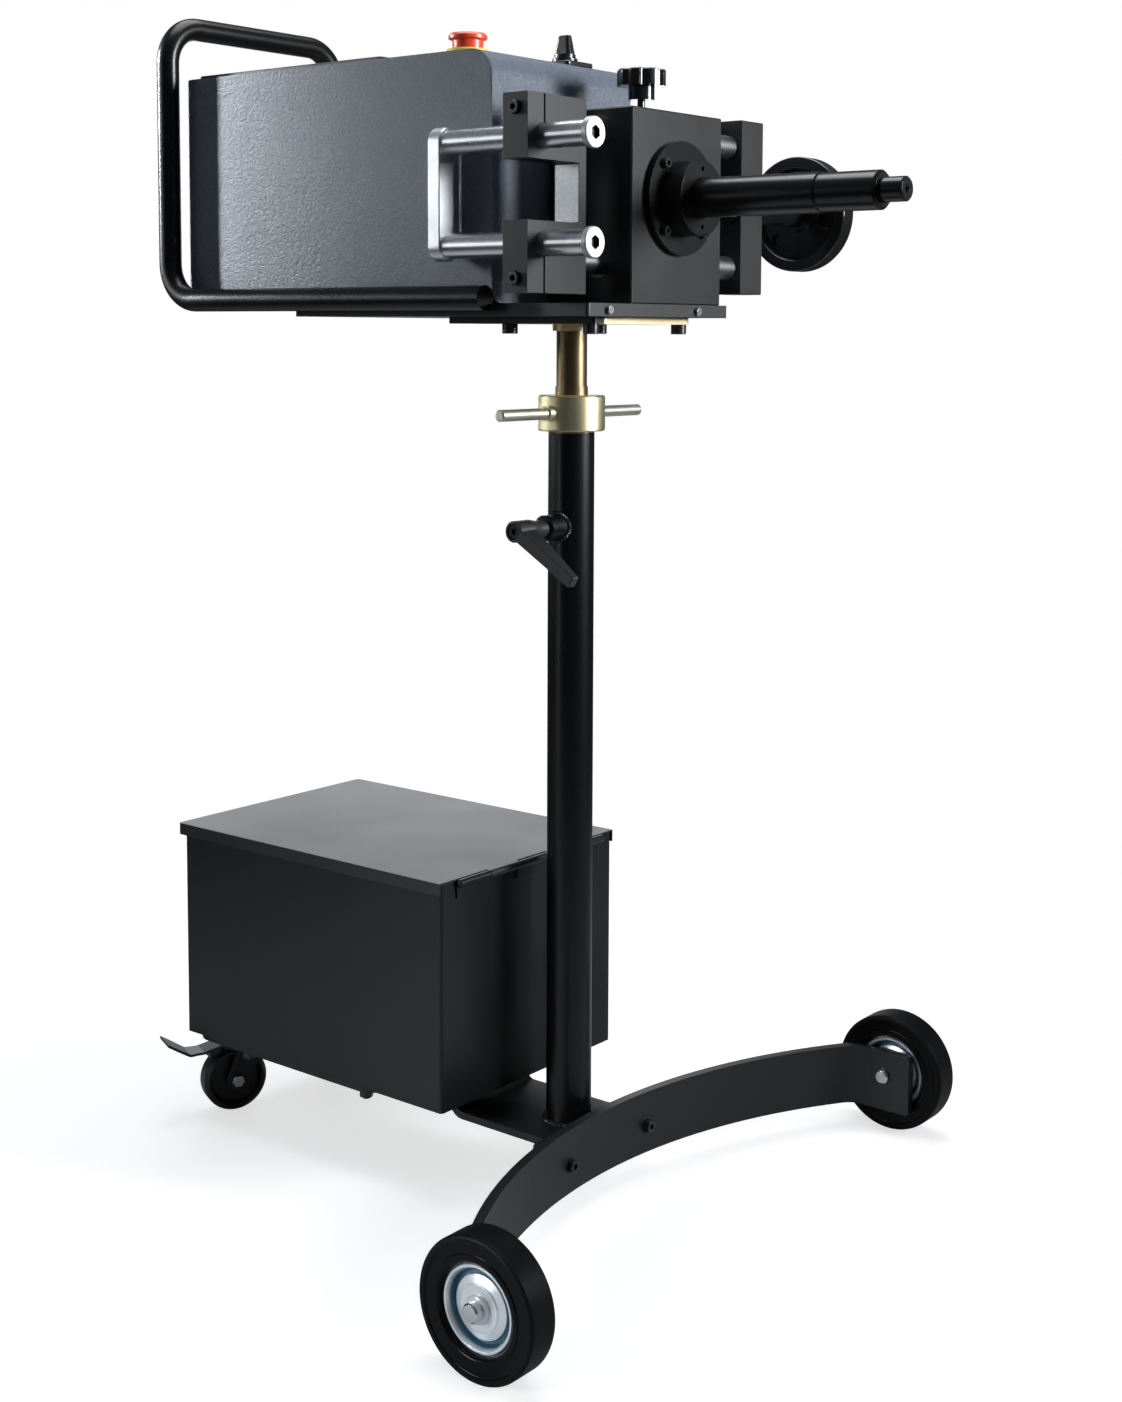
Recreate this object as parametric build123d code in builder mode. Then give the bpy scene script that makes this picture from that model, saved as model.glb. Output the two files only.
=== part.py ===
from build123d import *
from math import asin, cos, degrees, pi, radians, sin, sqrt, tan
import os

# A portable brake disc lathe: a driven spindle and a cross-fed tool carriage on a wheeled stand.
# Sizes are in millimetres and angles in degrees. X runs along the spindle, Y to the machine's left, Z up.
# The origin is on the floor, in the middle of the machine's outline.

# Clearances
RUNNING_FIT = 0.05          # radial, between a shaft and the bore that it turns or slides in
FACE_GAP = 0.3              # between faces that pass each other
SEAT_GAP = 0.05             # between faces that rest on each other
PASS_GAP = 2.0              # radial, round a shaft that passes a wall without touching it
HEAD_GAP = 0.5              # radial, round a screw head in its counterbore
TIP_GAP = 2.0               # past the end of a screw in its hole
SHOE_GAP = 0.9              # between the pressed brake shoe and the tread

# Broken edges
EDGE_BREAK = 1.0
END_BREAK = 1.5

SIDES = {"right": -1, "left": 1}

# Column and lift
COLUMN_OD = 48.3
COLUMN_WALL = 3.2
COLUMN_TOP = 806.0
BUSH_LENGTH = 60.0
BUSH_FLANGE = 2.0
POST_D = 32.0
POST_LENGTH = 441.0
POST_STROKE = 180.0
POST_PISTON_LENGTH = 25.0
POST_SLEEVE_WALL = 1.0
POST_SLEEVE_HEIGHT = 9.0
SPIGOT_D = 26.0
NUT_D = 70.0
NUT_HEIGHT = 37.0
TOMMY_D = 12.0
TOMMY_REACH = 115.0
TOMMY_BOSS_D = 16.0
TOMMY_BOSS_LENGTH = 8.0
LEVER_DROP = 97.0           # below the column's top
LEVER_BOSS_D = 27.0
LEVER_BOSS_REACH = 45.0     # column axis to the boss face
LEVER_HUB_D = 22.0
LEVER_HUB_NECK_D = 18.0
LEVER_REACH = 93.0          # column axis to the hub's outer face
LEVER_ARM_LENGTH = 88.0
LEVER_ARM_DROP = 31.5       # below level, at rest
LEVER_ARM_ROOT = 14.0
LEVER_ARM_TIP = 12.5
LEVER_ARM_DEPTH = 23.0
LEVER_TIP_DEPTH = 8.0
LEVER_TIP_ROUND = 2.5
STUD_D = 10.0
STUD_HEAD_D = 15.0
STUD_HEAD_HEIGHT = 7.0
STUD_SOCKET = 6.0
STUD_RECESS = 8.0           # lever face to the stud head's seat

# Base
BEAM_WIDTH = 122.0
BEAM_THICKNESS = 8.0
BEAM_TOP = 71.0
BEAM_STEP_FOOT = 104.0      # column axis back to the foot of the step
BEAM_STEP_RUN = 36.0
BEAM_NOSE = 6.0             # beam's end ahead of the column's front
BEAM_BEND = 14.0
PLATFORM_INSET = 6.0        # inside the tool box's sides
PLATFORM_BACK_INSET = 1.0   # inside the tool box's back
MOUNT_PLATE_THICKNESS = 12.0
MOUNT_PLATE_WIDTH = 192.0
MOUNT_PLATE_HEIGHT = 50.0
BAR_THICKNESS = 10.0
BAR_HEIGHT = 67.0
BAR_DROP = 6.5              # bar's middle below the front axles
BAR_RADIUS = 576.0
BAR_BEND = 30.0
TAB_SPACING = 670.0
TAB_REACH = 228.0           # column axis forward to the tab tips
TAB_CORNER = 4.0
BAR_BOLT_SPACING = 132.0
BAR_BOLT_DROP = 4.0         # bolts and mount plate below the bar's middle
BAR_BOSS_D = 18.0
BOLT_SPOT_DEPTH = 0.5

# Front wheels
WHEEL_D = 132.0
WHEEL_WIDTH = 33.0
WHEEL_TRACK = 716.0
WHEEL_REACH = 196.0         # column axis forward to the axle
TYRE_BORE_D = 84.0
TYRE_SHOULDER = 3.5
TYRE_BEAD = 2.0
TYRE_RECESS_WIDTH = 10.0
TYRE_RECESS_DEPTH = 1.2
RIM_LIP_D = 80.0
RIM_GROOVE_D = 66.0
RIM_DISH_D = 58.0
RIM_STEP_D = 42.0
RIM_HUB_D = 26.0
RIM_HUB_WIDTH = 28.0
RIM_BEVEL = 2.0
RIM_COLLAR = 4.0            # hub face down to the pressed disc
RIM_DISH_DEPTH = 7.5        # hub face down to the disc's edge
RIM_LIP_DEPTH = 2.0         # hub face down to the lip
RIM_LIP_ROUND = 3.0
RIM_WEB = 6.0
AXLE_D = 12.0
AXLE_SHOULDER_D = 18.0
AXLE_HEAD_D = 16.0
AXLE_HEAD_HEIGHT = 6.5
AXLE_CAP_D = 18.0
AXLE_CAP_HEIGHT = 8.0

# Casters
CASTER_WHEEL_D = 75.0
CASTER_WHEEL_WIDTH = 24.0
CASTER_SPACING = 132.0
CASTER_INSET = 23.0         # tool box's back forward to the kingpins
CASTER_TRAIL = 22.0
CASTER_TURN = radians(66)   # each caster trails outwards by this angle at rest
CASTER_PLATE = 44.0
CASTER_PLATE_CORNER = 6.0
CASTER_PLATE_THICKNESS = 4.0
CASTER_HEAD_D = 46.0
CASTER_HEAD_HEIGHT = 13.0
CASTER_LEG_WIDTH = 37.0      # at the fork's crown
CASTER_LEG_SEAM = 2.0       # legs into the crown
CASTER_GUSSET = 13.5        # fork's gusset below the pedal's pin, at the kingpin
CASTER_LEG_THICKNESS = 2.5
CASTER_SIDE_PLAY = 1.5
KINGPIN_D = 12.0
CASTER_AXLE_D = 8.0
CASTER_BOSS_D = 24.0
CASTER_HUB_WALL = 5.0
CASTER_WEB_WIDTH = 12.0
CASTER_TREAD_DEPTH = 10.0
CASTER_TREAD_ROUND = 4.0
CASTER_FILLET = 3.0
PEDAL_REACH = 104.0         # kingpin back to the pedal's tip
PEDAL_WIDTH = 34.0
PEDAL_THICKNESS = 3.0
PEDAL_DIP_START = 0.58      # of the reach
PEDAL_NECK_END = 0.66       # of the reach
PEDAL_DIP_END = 0.74        # of the reach
PEDAL_FLARE_END = 0.88      # of the reach
PEDAL_BEND = 8.0
PEDAL_PIVOT_BACK = 34.0
PEDAL_PIVOT_Z = 81.0
PEDAL_PRESS = radians(14)   # pedal's turn that sets the brake
PEDAL_DIP = 6.0
PEDAL_RISE = 13.0           # pedal's tip above its pivot
SHOE_BACK = 7.0
SHOE_LENGTH = 13.0
PEDAL_PIN_D = 6.0
PEDAL_EYE_D = 11.0

# Tool box
BOX_UNDERSIDE = 105.0
BOX_HEIGHT = 241.0
BOX_WIDTH = 284.0
BOX_FRONT = 54.0            # column axis back to the front wall
BOX_BACK = 450.0
SHEET = 2.0
BOX_CORNER = 4.0
LID_LIP = 13.0
LID_SIDE_GAP = 1.0
LID_BACK_GAP = 6.0
HINGE_D = 8.0
HINGE_PIN_D = 4.0
HINGE_LENGTH = 240.0
HINGE_KNUCKLES = 5
HINGE_LEAF = 16.0
HINGE_STAND = 0.5           # knuckles clear of the front wall
BOX_BOLT_X = (176.0, 360.0)  # column axis back to the box bolts
BOX_BOLT_INSET = 14.0       # inside the tool box's sides

# Head base
HEAD_RISE = 119.0           # column's top to the base plate's underside
BASE_PLATE_THICKNESS = 13.0
BASE_PLATE_FRONT = 114.0
BASE_PLATE_BACK = 288.0
BASE_PLATE_CORNER = 3.0
FLANGE_THICKNESS = 7.0
FLANGE_FRONT = 94.0
FLANGE_LENGTH = 154.0
FLANGE_RIGHT = 68.0
FLANGE_LEFT = 79.0
FLANGE_CORNER = 5.0
SOCKET_D = 40.0
SOCKET_HEIGHT = 7.0
RETAINER_BACK = 98.0
RETAINER_RIGHT = 82.0
HEAD_BOLT_X = (-20.0, 84.0)
HEAD_BOLT_Y = (-75.0, 72.0)
EDGE_SCREW_Y = (-86.0, 62.0)

# Gearbox and drive
GEARBOX_LENGTH = 100.0
GEARBOX_LEFT = 124.0        # column axis left to the far wall
GEARBOX_WALL = 12.0
GEARBOX_CHAMFER = 1.5
GEAR_CHAMBER = 38.0
GEAR_CHAMBER_CORNER = 10.0
GEAR_SIDE_ROOM = 2.605      # pinion's tips to the chamber's near wall
GEAR_HEADROOM = 12.105      # pinion's tips to the chamber's roof
REAR_PLATE_THICKNESS = 11.0
REAR_PLATE_INSET = 8.0      # from the gearbox's side walls
SPINDLE_RISE = 107.0        # base plate's top to the spindle axis
SPINDLE_Y = 46.5            # column axis left to the spindle axis
BEARING_OD = 80.0
BEARING_WIDTH = 18.0
BEARING_GAP = 18.0
BEARING_INSET = 2.0
BEARING_RECESS = 1.5        # between the rings, on each face
SPINDLE_D = 40.0
SPINDLE_FRONT = 364.0       # column axis forward to the nose tip
NOSE_D = 24.0
NOSE_LENGTH = 25.0
ARBOR_D = 38.0
ARBOR_LENGTH = 67.0
ARBOR_CHAMFER = 3.0
CENTRE_HOLE_D = 5.0
CENTRE_MOUTH_D = 9.0
CENTRE_HOLE_DEPTH = 20.0
SPINDLE_FLANGE_D = 115.0
SPINDLE_FLANGE_THICKNESS = 7.0
SPINDLE_BOSS_D = 76.0
SPINDLE_BOSS_LENGTH = 24.0
FLANGE_SCREW_PCD = 95.0
FLANGE_SCREW_TURN = 45.0
FLANGE_SCREWS = 4
BOSS_HOLES = 4
BOSS_HOLE_D = 5.0
BOSS_HOLE_DEPTH = 8.0
GEAR_MODULE = 2.0
GEAR_TEETH = 48
PINION_TEETH = 16
GEAR_WIDTH = 24.0
GEAR_SEAT_D = 34.0
BACKLASH = 0.55
TOOTH_FLANK = 24.0
ADDENDUM = 0.82             # in modules
DEDENDUM = 1.25             # in modules
MOTOR_D = 120.0
MOTOR_LENGTH = 190.0
MOTOR_CHAMFER = 4.0
MOTOR_COWL = 14.0
MOTOR_FOOT_SEAM = 8.0       # foot into the motor's round body
GEARHEAD_D = 92.0
GEARHEAD_LENGTH = 62.0
MOTOR_NOSE_D = 56.0
MOTOR_NOSE_LENGTH = 26.0
PINION_SHAFT_D = 20.0
PINION_ANGLE = 45.0         # above level, on the spindle's right

# Cover and handle
COVER_LENGTH = 469.0
COVER_WIDTH = 226.0
COVER_HEIGHT = 251.0
COVER_WALL = 2.5
COVER_CORNER = 28.0
COVER_LEDGE = 4.0           # cover's floor over the base plate's rear edge
HATCH_FRONT = 170.0         # column axis back to the hatch's front edge
HATCH_THICKNESS = 4.0
HATCH_MARGIN = 7.0
HATCH_CORNER = 5.0
HANDLE_D = 25.0
HANDLE_WALL = 2.0
HANDLE_SPACING = 258.0
HANDLE_FRONT = 6.0          # column axis back to the tube ends
HANDLE_BACK = 477.0
HANDLE_RISE = 5.0           # base plate's top to the axes of the side tubes
HANDLE_OVER = 59.5          # cover's top to the axis of the cross tube
HANDLE_BEND = 42.0

# Controls
CONTROL_HOLE_D = 22.0
CONTROL_BARREL = 20.0       # below the cover
ESTOP_X, ESTOP_Y = -90.0, -60.0
ESTOP_D = 40.0
ESTOP_NECK_D = 32.0
ESTOP_HEIGHT = 17.0
ESTOP_NECK_HEIGHT = 9.5
ESTOP_FLARE = 1.8
ESTOP_ROUND = 2.4
ESTOP_RING_D = 44.0
ESTOP_RING_HEIGHT = 9.0
ESTOP_SINK = 1.0            # button's neck inside the ring, at rest
ESTOP_STEM_D = 16.0
ESTOP_TRAVEL = 4.0
SWITCH_X, SWITCH_Y = -55.0, 55.0
SWITCH_PLATE = 44.0
SWITCH_PLATE_HEIGHT = 9.0
SWITCH_CORNER = 4.0
SWITCH_COLLAR_D = 27.0
SWITCH_KNOB_D = 23.0
SWITCH_SKIRT = 4.0
SWITCH_GRIP_FOOT = (21.0, 13.0)
SWITCH_GRIP_TOP = (14.0, 8.0)
SWITCH_GRIP_ROUND = 3.0
SWITCH_STEM_DEPTH = 8.0     # below the cover
SWITCH_KNOB_HEIGHT = 24.0
SWITCH_STEM_D = 8.0
KNOB_D = 50.0
KNOB_HEIGHT = 17.0
KNOB_HUB_D = 27.0
KNOB_HUB_HEIGHT = 14.0
KNOB_RISE = 14.0            # gearbox top to the knob's hub
KNOB_STUD_D = 8.0
KNOB_FLUTES = 8
KNOB_FLUTE_R = 6.0
KNOB_FLUTE_OUT = 2.0        # flutes' centres beyond the knob's edge
KNOB_CHAMFER = 1.2
KNOB_OFFSET = 5.5           # right of the spindle

# Carriage and feed
ROD_D = 25.0
ROD_X = 57.0
ROD_SPACING = 130.0
ROD_BUSH_WALL = 3.5
ROD_BUSH_LENGTH = 30.0
BLOCK_ROD_WALL = 3.0        # each side of the guide rods
BLOCK_WIDTH = 89.0
BLOCK_RISE = 9.0            # base plate's top to the block's underside
BLOCK_HEIGHT = 189.0
BLOCK_GAP = 38.0            # tool block to gearbox, at rest
BLOCK_WINDOW = 58.0
BLOCK_WINDOW_DEPTH = 78.0
BLOCK_SLIT = 2.5
BLOCK_CHAMFER = 1.0
ROD_SOCKET = 43.0           # depth of the guide rods in the tool block
END_BLOCK_ROD_WALL = 5.5
END_BLOCK_WIDTH = 41.0
END_BLOCK_WALL = 5.0        # past the guide rods' holes
END_BLOCK_GAP = 75.0        # gearbox to end block, at rest
END_BLOCK_HEIGHT = 187.0
FEED_SCREW_D = 16.0
FEED_SCREW_SEAT = 24.0
FEED_SCREW_END = 330.0      # column axis left to the free end
FEED_SLEEVE_OD = 30.0
FEED_COLLAR_D = 42.0
FEED_COLLAR_WIDTH = 6.0
FEED_RING_D = 36.0
FEED_RING_WIDTH = 3.0
WHEEL_HAND_D = 130.0
WHEEL_HAND_WIDTH = 22.0
WHEEL_HAND_Y = 335.0        # column axis left to the rim's near face
WHEEL_HAND_RIM = 13.0
WHEEL_HAND_ROUND = 2.0
WHEEL_HAND_WEB = 7.0
WHEEL_HAND_DISH = 8.0       # rim's near face to the web
WHEEL_HAND_NOSE = 8.0       # hub ahead of the rim's near face
WHEEL_HAND_TAPER = 3.0
WHEEL_HAND_SEAM = 2.0       # web into the rim
WHEEL_HAND_POCKETS = 3
WHEEL_HAND_POCKET = 34.0
WHEEL_HAND_POCKET_DEPTH = 3.5
WHEEL_HAND_HUB_D = 44.0
TOOL_ROD_INSET = 25.0       # tool block's right side in to the tool rods
TOOL_ROD_SPACING = 102.0
TOOL_ROD_FRONT = 55.0       # tool block's front face forward to the rod ends
TOOL_ROD_BACK = 91.0        # tool block's back face back to the yoke
TOOL_CAP_LIP = 2.5          # beyond the rods
TOOL_CAP_LENGTH = 7.0
TOOL_CAP_SOCKET = 12.0
TOOL_CAP_SOCKET_DEPTH = 5.0
YOKE_THICKNESS = 16.0
YOKE_LIP = 2.5              # beyond the rods
CLAMP_SCREW_INSET = 14.0

# Screws
M5_D, M5_HEX_AF, M5_HEX_HEIGHT = 5.0, 8.0, 4.0
M6_D, M6_HEAD_D, M6_HEAD_HEIGHT, M6_SOCKET = 6.0, 10.0, 6.0, 5.0
M8_D, M8_HEAD_D, M8_HEAD_HEIGHT, M8_SOCKET = 8.0, 13.0, 8.0, 6.0
M8_HEX_AF, M8_HEX_HEIGHT, M8_NUT_HEIGHT = 13.0, 5.5, 6.5
M10_D, M10_HEAD_D, M10_HEAD_HEIGHT, M10_SOCKET = 10.0, 16.0, 10.0, 8.0
BOLT_TAIL = 2.0             # past the nut
EDGE_SCREW_DEPTH = 14.0
FLANGE_SCREW_DEPTH = 14.0
HEAD_BOLT_DEPTH = 8.0
CLAMP_SCREW_DEPTH = 34.0

# Places that several pieces share
BLOCK_LENGTH = ROD_D + 2 * BLOCK_ROD_WALL
END_BLOCK_LENGTH = ROD_D + 2 * END_BLOCK_ROD_WALL
ROD_BUSH_OD = ROD_D + 2 * ROD_BUSH_WALL
TOOL_CAP_D = ROD_D + 2 * TOOL_CAP_LIP
YOKE_WIDTH = ROD_D + 2 * YOKE_LIP
POST_SLEEVE_D = POST_D + 2 * POST_SLEEVE_WALL
PLATFORM_WIDTH = BOX_WIDTH - 2 * PLATFORM_INSET
PLATFORM_BACK = BOX_BACK - PLATFORM_BACK_INSET
BOX_BOLT_SPACING = BOX_WIDTH - 2 * BOX_BOLT_INSET
CASTER_BACK = BOX_BACK - CASTER_INSET
# The column stands where the outline is centred, from the spindle's tip to the pedals or the handle.
PEDAL_BACK = CASTER_BACK + PEDAL_REACH * cos(CASTER_TURN) + PEDAL_WIDTH / 2 * sin(CASTER_TURN)
OUTLINE_BACK = max(PEDAL_BACK, HANDLE_BACK + HANDLE_D / 2)
COLUMN_X = (OUTLINE_BACK - SPINDLE_FRONT) / 2
AXLE_Z = WHEEL_D / 2
BAR_MIDDLE_Z = AXLE_Z - BAR_DROP
BAR_BOTTOM = BAR_MIDDLE_Z - BAR_HEIGHT / 2
BAR_BOLT_Z = BAR_MIDDLE_Z - BAR_BOLT_DROP
MOUNT_PLATE_BACK = COLUMN_X + COLUMN_OD / 2 + BEAM_NOSE
BAR_CENTRE_X = MOUNT_PLATE_BACK + MOUNT_PLATE_THICKNESS + BAR_THICKNESS / 2 + BAR_RADIUS
TAB_INNER = TAB_SPACING / 2 - BAR_THICKNESS / 2
TAB_OUTER = TAB_SPACING / 2 + BAR_THICKNESS / 2
PLATFORM_UNDERSIDE = BOX_UNDERSIDE - BEAM_THICKNESS
NUT_BOTTOM = COLUMN_TOP + BUSH_FLANGE + SEAT_GAP
LEVER_Z = COLUMN_TOP - LEVER_DROP
HEAD_Z = COLUMN_TOP + HEAD_RISE
FLANGE_BOTTOM = HEAD_Z - FLANGE_THICKNESS
SOCKET_BOTTOM = FLANGE_BOTTOM - SOCKET_HEIGHT
POST_SHOULDER = SOCKET_BOTTOM - SEAT_GAP
BASE_PLATE_TOP = HEAD_Z + BASE_PLATE_THICKNESS
SPINDLE_Z = BASE_PLATE_TOP + SPINDLE_RISE
GEAR_CENTRES = GEAR_MODULE * (GEAR_TEETH + PINION_TEETH) / 2
PINION_TIP_R = GEAR_MODULE * (PINION_TEETH / 2 + ADDENDUM)
PINION_OVER = GEAR_CENTRES * cos(radians(PINION_ANGLE))
PINION_RISE = GEAR_CENTRES * sin(radians(PINION_ANGLE))
PINION_Y = SPINDLE_Y - PINION_OVER
PINION_Z = SPINDLE_Z + PINION_RISE
# The gearbox's near wall and roof stand as far out as the pinion needs.
GEARBOX_RIGHT = GEARBOX_WALL + GEAR_SIDE_ROOM + PINION_TIP_R - PINION_Y
GEARBOX_TOP = PINION_Z + PINION_TIP_R + GEAR_HEADROOM + GEARBOX_WALL
GEARBOX_WIDTH = GEARBOX_LEFT + GEARBOX_RIGHT
GEARBOX_HEIGHT = GEARBOX_TOP - BASE_PLATE_TOP
GEARBOX_Y = (GEARBOX_LEFT - GEARBOX_RIGHT) / 2
COVER_FRONT_X = COLUMN_X - REAR_PLATE_THICKNESS
COVER_TOP = BASE_PLATE_TOP + COVER_HEIGHT
BLOCK_BOTTOM = BASE_PLATE_TOP + BLOCK_RISE
BLOCK_LEFT = -(GEARBOX_RIGHT + BLOCK_GAP)
BLOCK_RIGHT = BLOCK_LEFT - BLOCK_WIDTH
TOOL_ROD_Y = BLOCK_RIGHT + TOOL_ROD_INSET
BLOCK_BACK_X = COLUMN_X + ROD_X - BLOCK_LENGTH / 2
BLOCK_FRONT_X = COLUMN_X + ROD_X + BLOCK_LENGTH / 2
END_BLOCK_Y = GEARBOX_LEFT + END_BLOCK_GAP
TOOL_ROD_LOW = SPINDLE_Z - TOOL_ROD_SPACING / 2
TOOL_ROD_HIGH = SPINDLE_Z + TOOL_ROD_SPACING / 2
HANDLE_R = HANDLE_D / 2
HANDLE_Z = BASE_PLATE_TOP + HANDLE_RISE
HANDLE_TOP = COVER_TOP + HANDLE_OVER
# The base plate's edges meet the handle tubes, which are welded to them.
BASE_PLATE_WIDTH = HANDLE_SPACING - 2 * sqrt(HANDLE_R**2 - HANDLE_RISE**2) - 2 * SEAT_GAP

# A piece stands on its place, or is sunk below it.
STANDING = (Align.CENTER, Align.CENTER, Align.MIN)
SUNK = (Align.CENTER, Align.CENTER, Align.MAX)

os.makedirs("parts", exist_ok=True)


def write_piece(piece, label):
    """Label a finished piece and write it under that name."""
    piece.part.label = label
    export_step(piece.part, f"parts/{label}.step")


def cap_screw(shank_d, shank_length, head_d, head_height, socket):
    """A socket head cap screw: its head stands on the XY plane and its shank points down."""
    with BuildPart() as screw:
        Cylinder(head_d / 2, head_height, align=STANDING)
        chamfer(screw.edges().group_by(Axis.Z)[-1], head_height / 12)
        with BuildSketch(Plane.XY.offset(head_height)):
            RegularPolygon(socket / 2, 6, major_radius=False)
        extrude(amount=-head_height / 2, mode=Mode.SUBTRACT)
        Cylinder(shank_d / 2, shank_length, align=SUNK)
    return screw.part


def hex_bolt(shank_d, shank_length, across_flats, head_height):
    """A hexagon bolt: its head stands on the XY plane and its shank points down."""
    with BuildPart() as bolt:
        with BuildSketch():
            RegularPolygon(across_flats / 2, 6, major_radius=False)
        extrude(amount=head_height)
        chamfer(bolt.edges().group_by(Axis.Z)[-1], head_height / 10)
        Cylinder(shank_d / 2, shank_length, align=SUNK)
    return bolt.part


def facing(x, y, z, direction):
    """A plane at a point, whose normal points in a direction."""
    return Plane(origin=(x, y, z), z_dir=direction)


# Base beam: a strip that steps up to the platform under the tool box

beam_low = BEAM_TOP - BEAM_THICKNESS / 2
beam_high = BOX_UNDERSIDE - BEAM_THICKNESS / 2
platform_front = BEAM_STEP_FOOT + BEAM_STEP_RUN
with BuildPart() as base_beam:
    with BuildSketch(Plane.XZ):
        with BuildLine():
            FilletPolyline(
                (MOUNT_PLATE_BACK, beam_low),
                (COLUMN_X - BEAM_STEP_FOOT, beam_low),
                (COLUMN_X - platform_front, beam_high),
                (COLUMN_X - PLATFORM_BACK, beam_high),
                radius=BEAM_BEND,
            )
        trace(line_width=BEAM_THICKNESS)
    extrude(amount=BEAM_WIDTH / 2, both=True)
    with BuildSketch(Plane.XY.offset(PLATFORM_UNDERSIDE)):
        with Locations((COLUMN_X - (PLATFORM_BACK + platform_front + BEAM_BEND) / 2, 0)):
            RectangleRounded(PLATFORM_BACK - platform_front - BEAM_BEND, PLATFORM_WIDTH, 2 * BEAM_BEND)
    extrude(amount=BEAM_THICKNESS)
    with Locations(*((COLUMN_X - x, 0, BOX_UNDERSIDE) for x in BOX_BOLT_X)):
        with GridLocations(1, BOX_BOLT_SPACING, 1, 2):
            Hole(M8_D / 2 + RUNNING_FIT, depth=BEAM_THICKNESS)
    with Locations((COLUMN_X - CASTER_BACK, 0, BOX_UNDERSIDE)):
        with GridLocations(1, CASTER_SPACING, 1, 2):
            Hole(KINGPIN_D / 2 + PASS_GAP, depth=BEAM_THICKNESS)
write_piece(base_beam, "base_beam")

# Bar mount plate: stands in front of the column, with a low boss behind each bolt of the arc bar

bar_back_radius = BAR_RADIUS + BAR_THICKNESS / 2
boss_edge_y = BAR_BOLT_SPACING / 2 - BAR_BOSS_D / 2
boss_face_x = BAR_CENTRE_X - sqrt(bar_back_radius**2 - boss_edge_y**2) - SEAT_GAP
mount_plate_front = MOUNT_PLATE_BACK + MOUNT_PLATE_THICKNESS
with BuildPart() as bar_mount_plate:
    with BuildSketch(Plane.YZ.offset(MOUNT_PLATE_BACK)):
        with Locations((0, BAR_BOLT_Z)):
            RectangleRounded(MOUNT_PLATE_WIDTH, MOUNT_PLATE_HEIGHT, TAB_CORNER)
    extrude(amount=MOUNT_PLATE_THICKNESS)
    with BuildSketch(Plane.YZ.offset(mount_plate_front)):
        with Locations((0, BAR_BOLT_Z)), GridLocations(BAR_BOLT_SPACING, 1, 2, 1):
            Circle(BAR_BOSS_D / 2)
    extrude(amount=boss_face_x - mount_plate_front)
    with BuildSketch(Plane.YZ.offset(MOUNT_PLATE_BACK)):
        with Locations((0, BAR_BOLT_Z)), GridLocations(BAR_BOLT_SPACING, 1, 2, 1):
            Circle(M8_D / 2 + RUNNING_FIT)
    extrude(amount=boss_face_x - MOUNT_PLATE_BACK, mode=Mode.SUBTRACT)
write_piece(bar_mount_plate, "bar_mount_plate")

# Front arc bar: bowed towards the column, its ends bent forward into the axle tabs

bar_half_turn = degrees(asin((TAB_SPACING / 2 - BAR_BEND) / (BAR_RADIUS - BAR_BEND)))
tab_root_x = BAR_CENTRE_X - (BAR_RADIUS - BAR_BEND) * cos(radians(bar_half_turn))
bar_front_radius = BAR_RADIUS - BAR_THICKNESS / 2
bolt_seat_x = BAR_CENTRE_X - sqrt(bar_front_radius**2 - (BAR_BOLT_SPACING / 2 - M8_HEAD_D / 2) ** 2)
bar_bolt_seats = [
    facing(bolt_seat_x, side * BAR_BOLT_SPACING / 2, BAR_BOLT_Z, (1, 0, 0)) for side in SIDES.values()
]
with BuildPart() as front_arc_bar:
    with BuildSketch(Plane.XY.offset(BAR_BOTTOM)):
        with BuildLine():
            near_tab = Line((COLUMN_X + TAB_REACH, -TAB_SPACING / 2), (tab_root_x, -TAB_SPACING / 2))
            near_bend = JernArc(near_tab @ 1, near_tab % 1, BAR_BEND, bar_half_turn - 90)
            bow = JernArc(near_bend @ 1, near_bend % 1, BAR_RADIUS, -2 * bar_half_turn)
            far_bend = JernArc(bow @ 1, bow % 1, BAR_BEND, bar_half_turn - 90)
            Line(far_bend @ 1, (COLUMN_X + TAB_REACH, TAB_SPACING / 2))
        trace(line_width=BAR_THICKNESS)
    extrude(amount=BAR_HEIGHT)
    tab_ends = front_arc_bar.faces().group_by(Axis.X)[-1].edges().filter_by(Axis.Y)
    fillet(tab_ends, TAB_CORNER)
    with BuildSketch(Plane.XZ):
        with Locations((COLUMN_X + WHEEL_REACH, AXLE_Z)):
            Circle(AXLE_D / 2 + RUNNING_FIT)
    extrude(amount=TAB_OUTER, both=True, mode=Mode.SUBTRACT)
    with Locations(*bar_bolt_seats):
        CounterBoreHole(
            M8_D / 2 + RUNNING_FIT, M8_HEAD_D / 2 + HEAD_GAP, BOLT_SPOT_DEPTH, depth=2 * BAR_THICKNESS
        )
write_piece(front_arc_bar, "front_arc_bar")

# Stand bolts: two through the arc bar into the mount plate, four through the tool box into the platform

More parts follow.
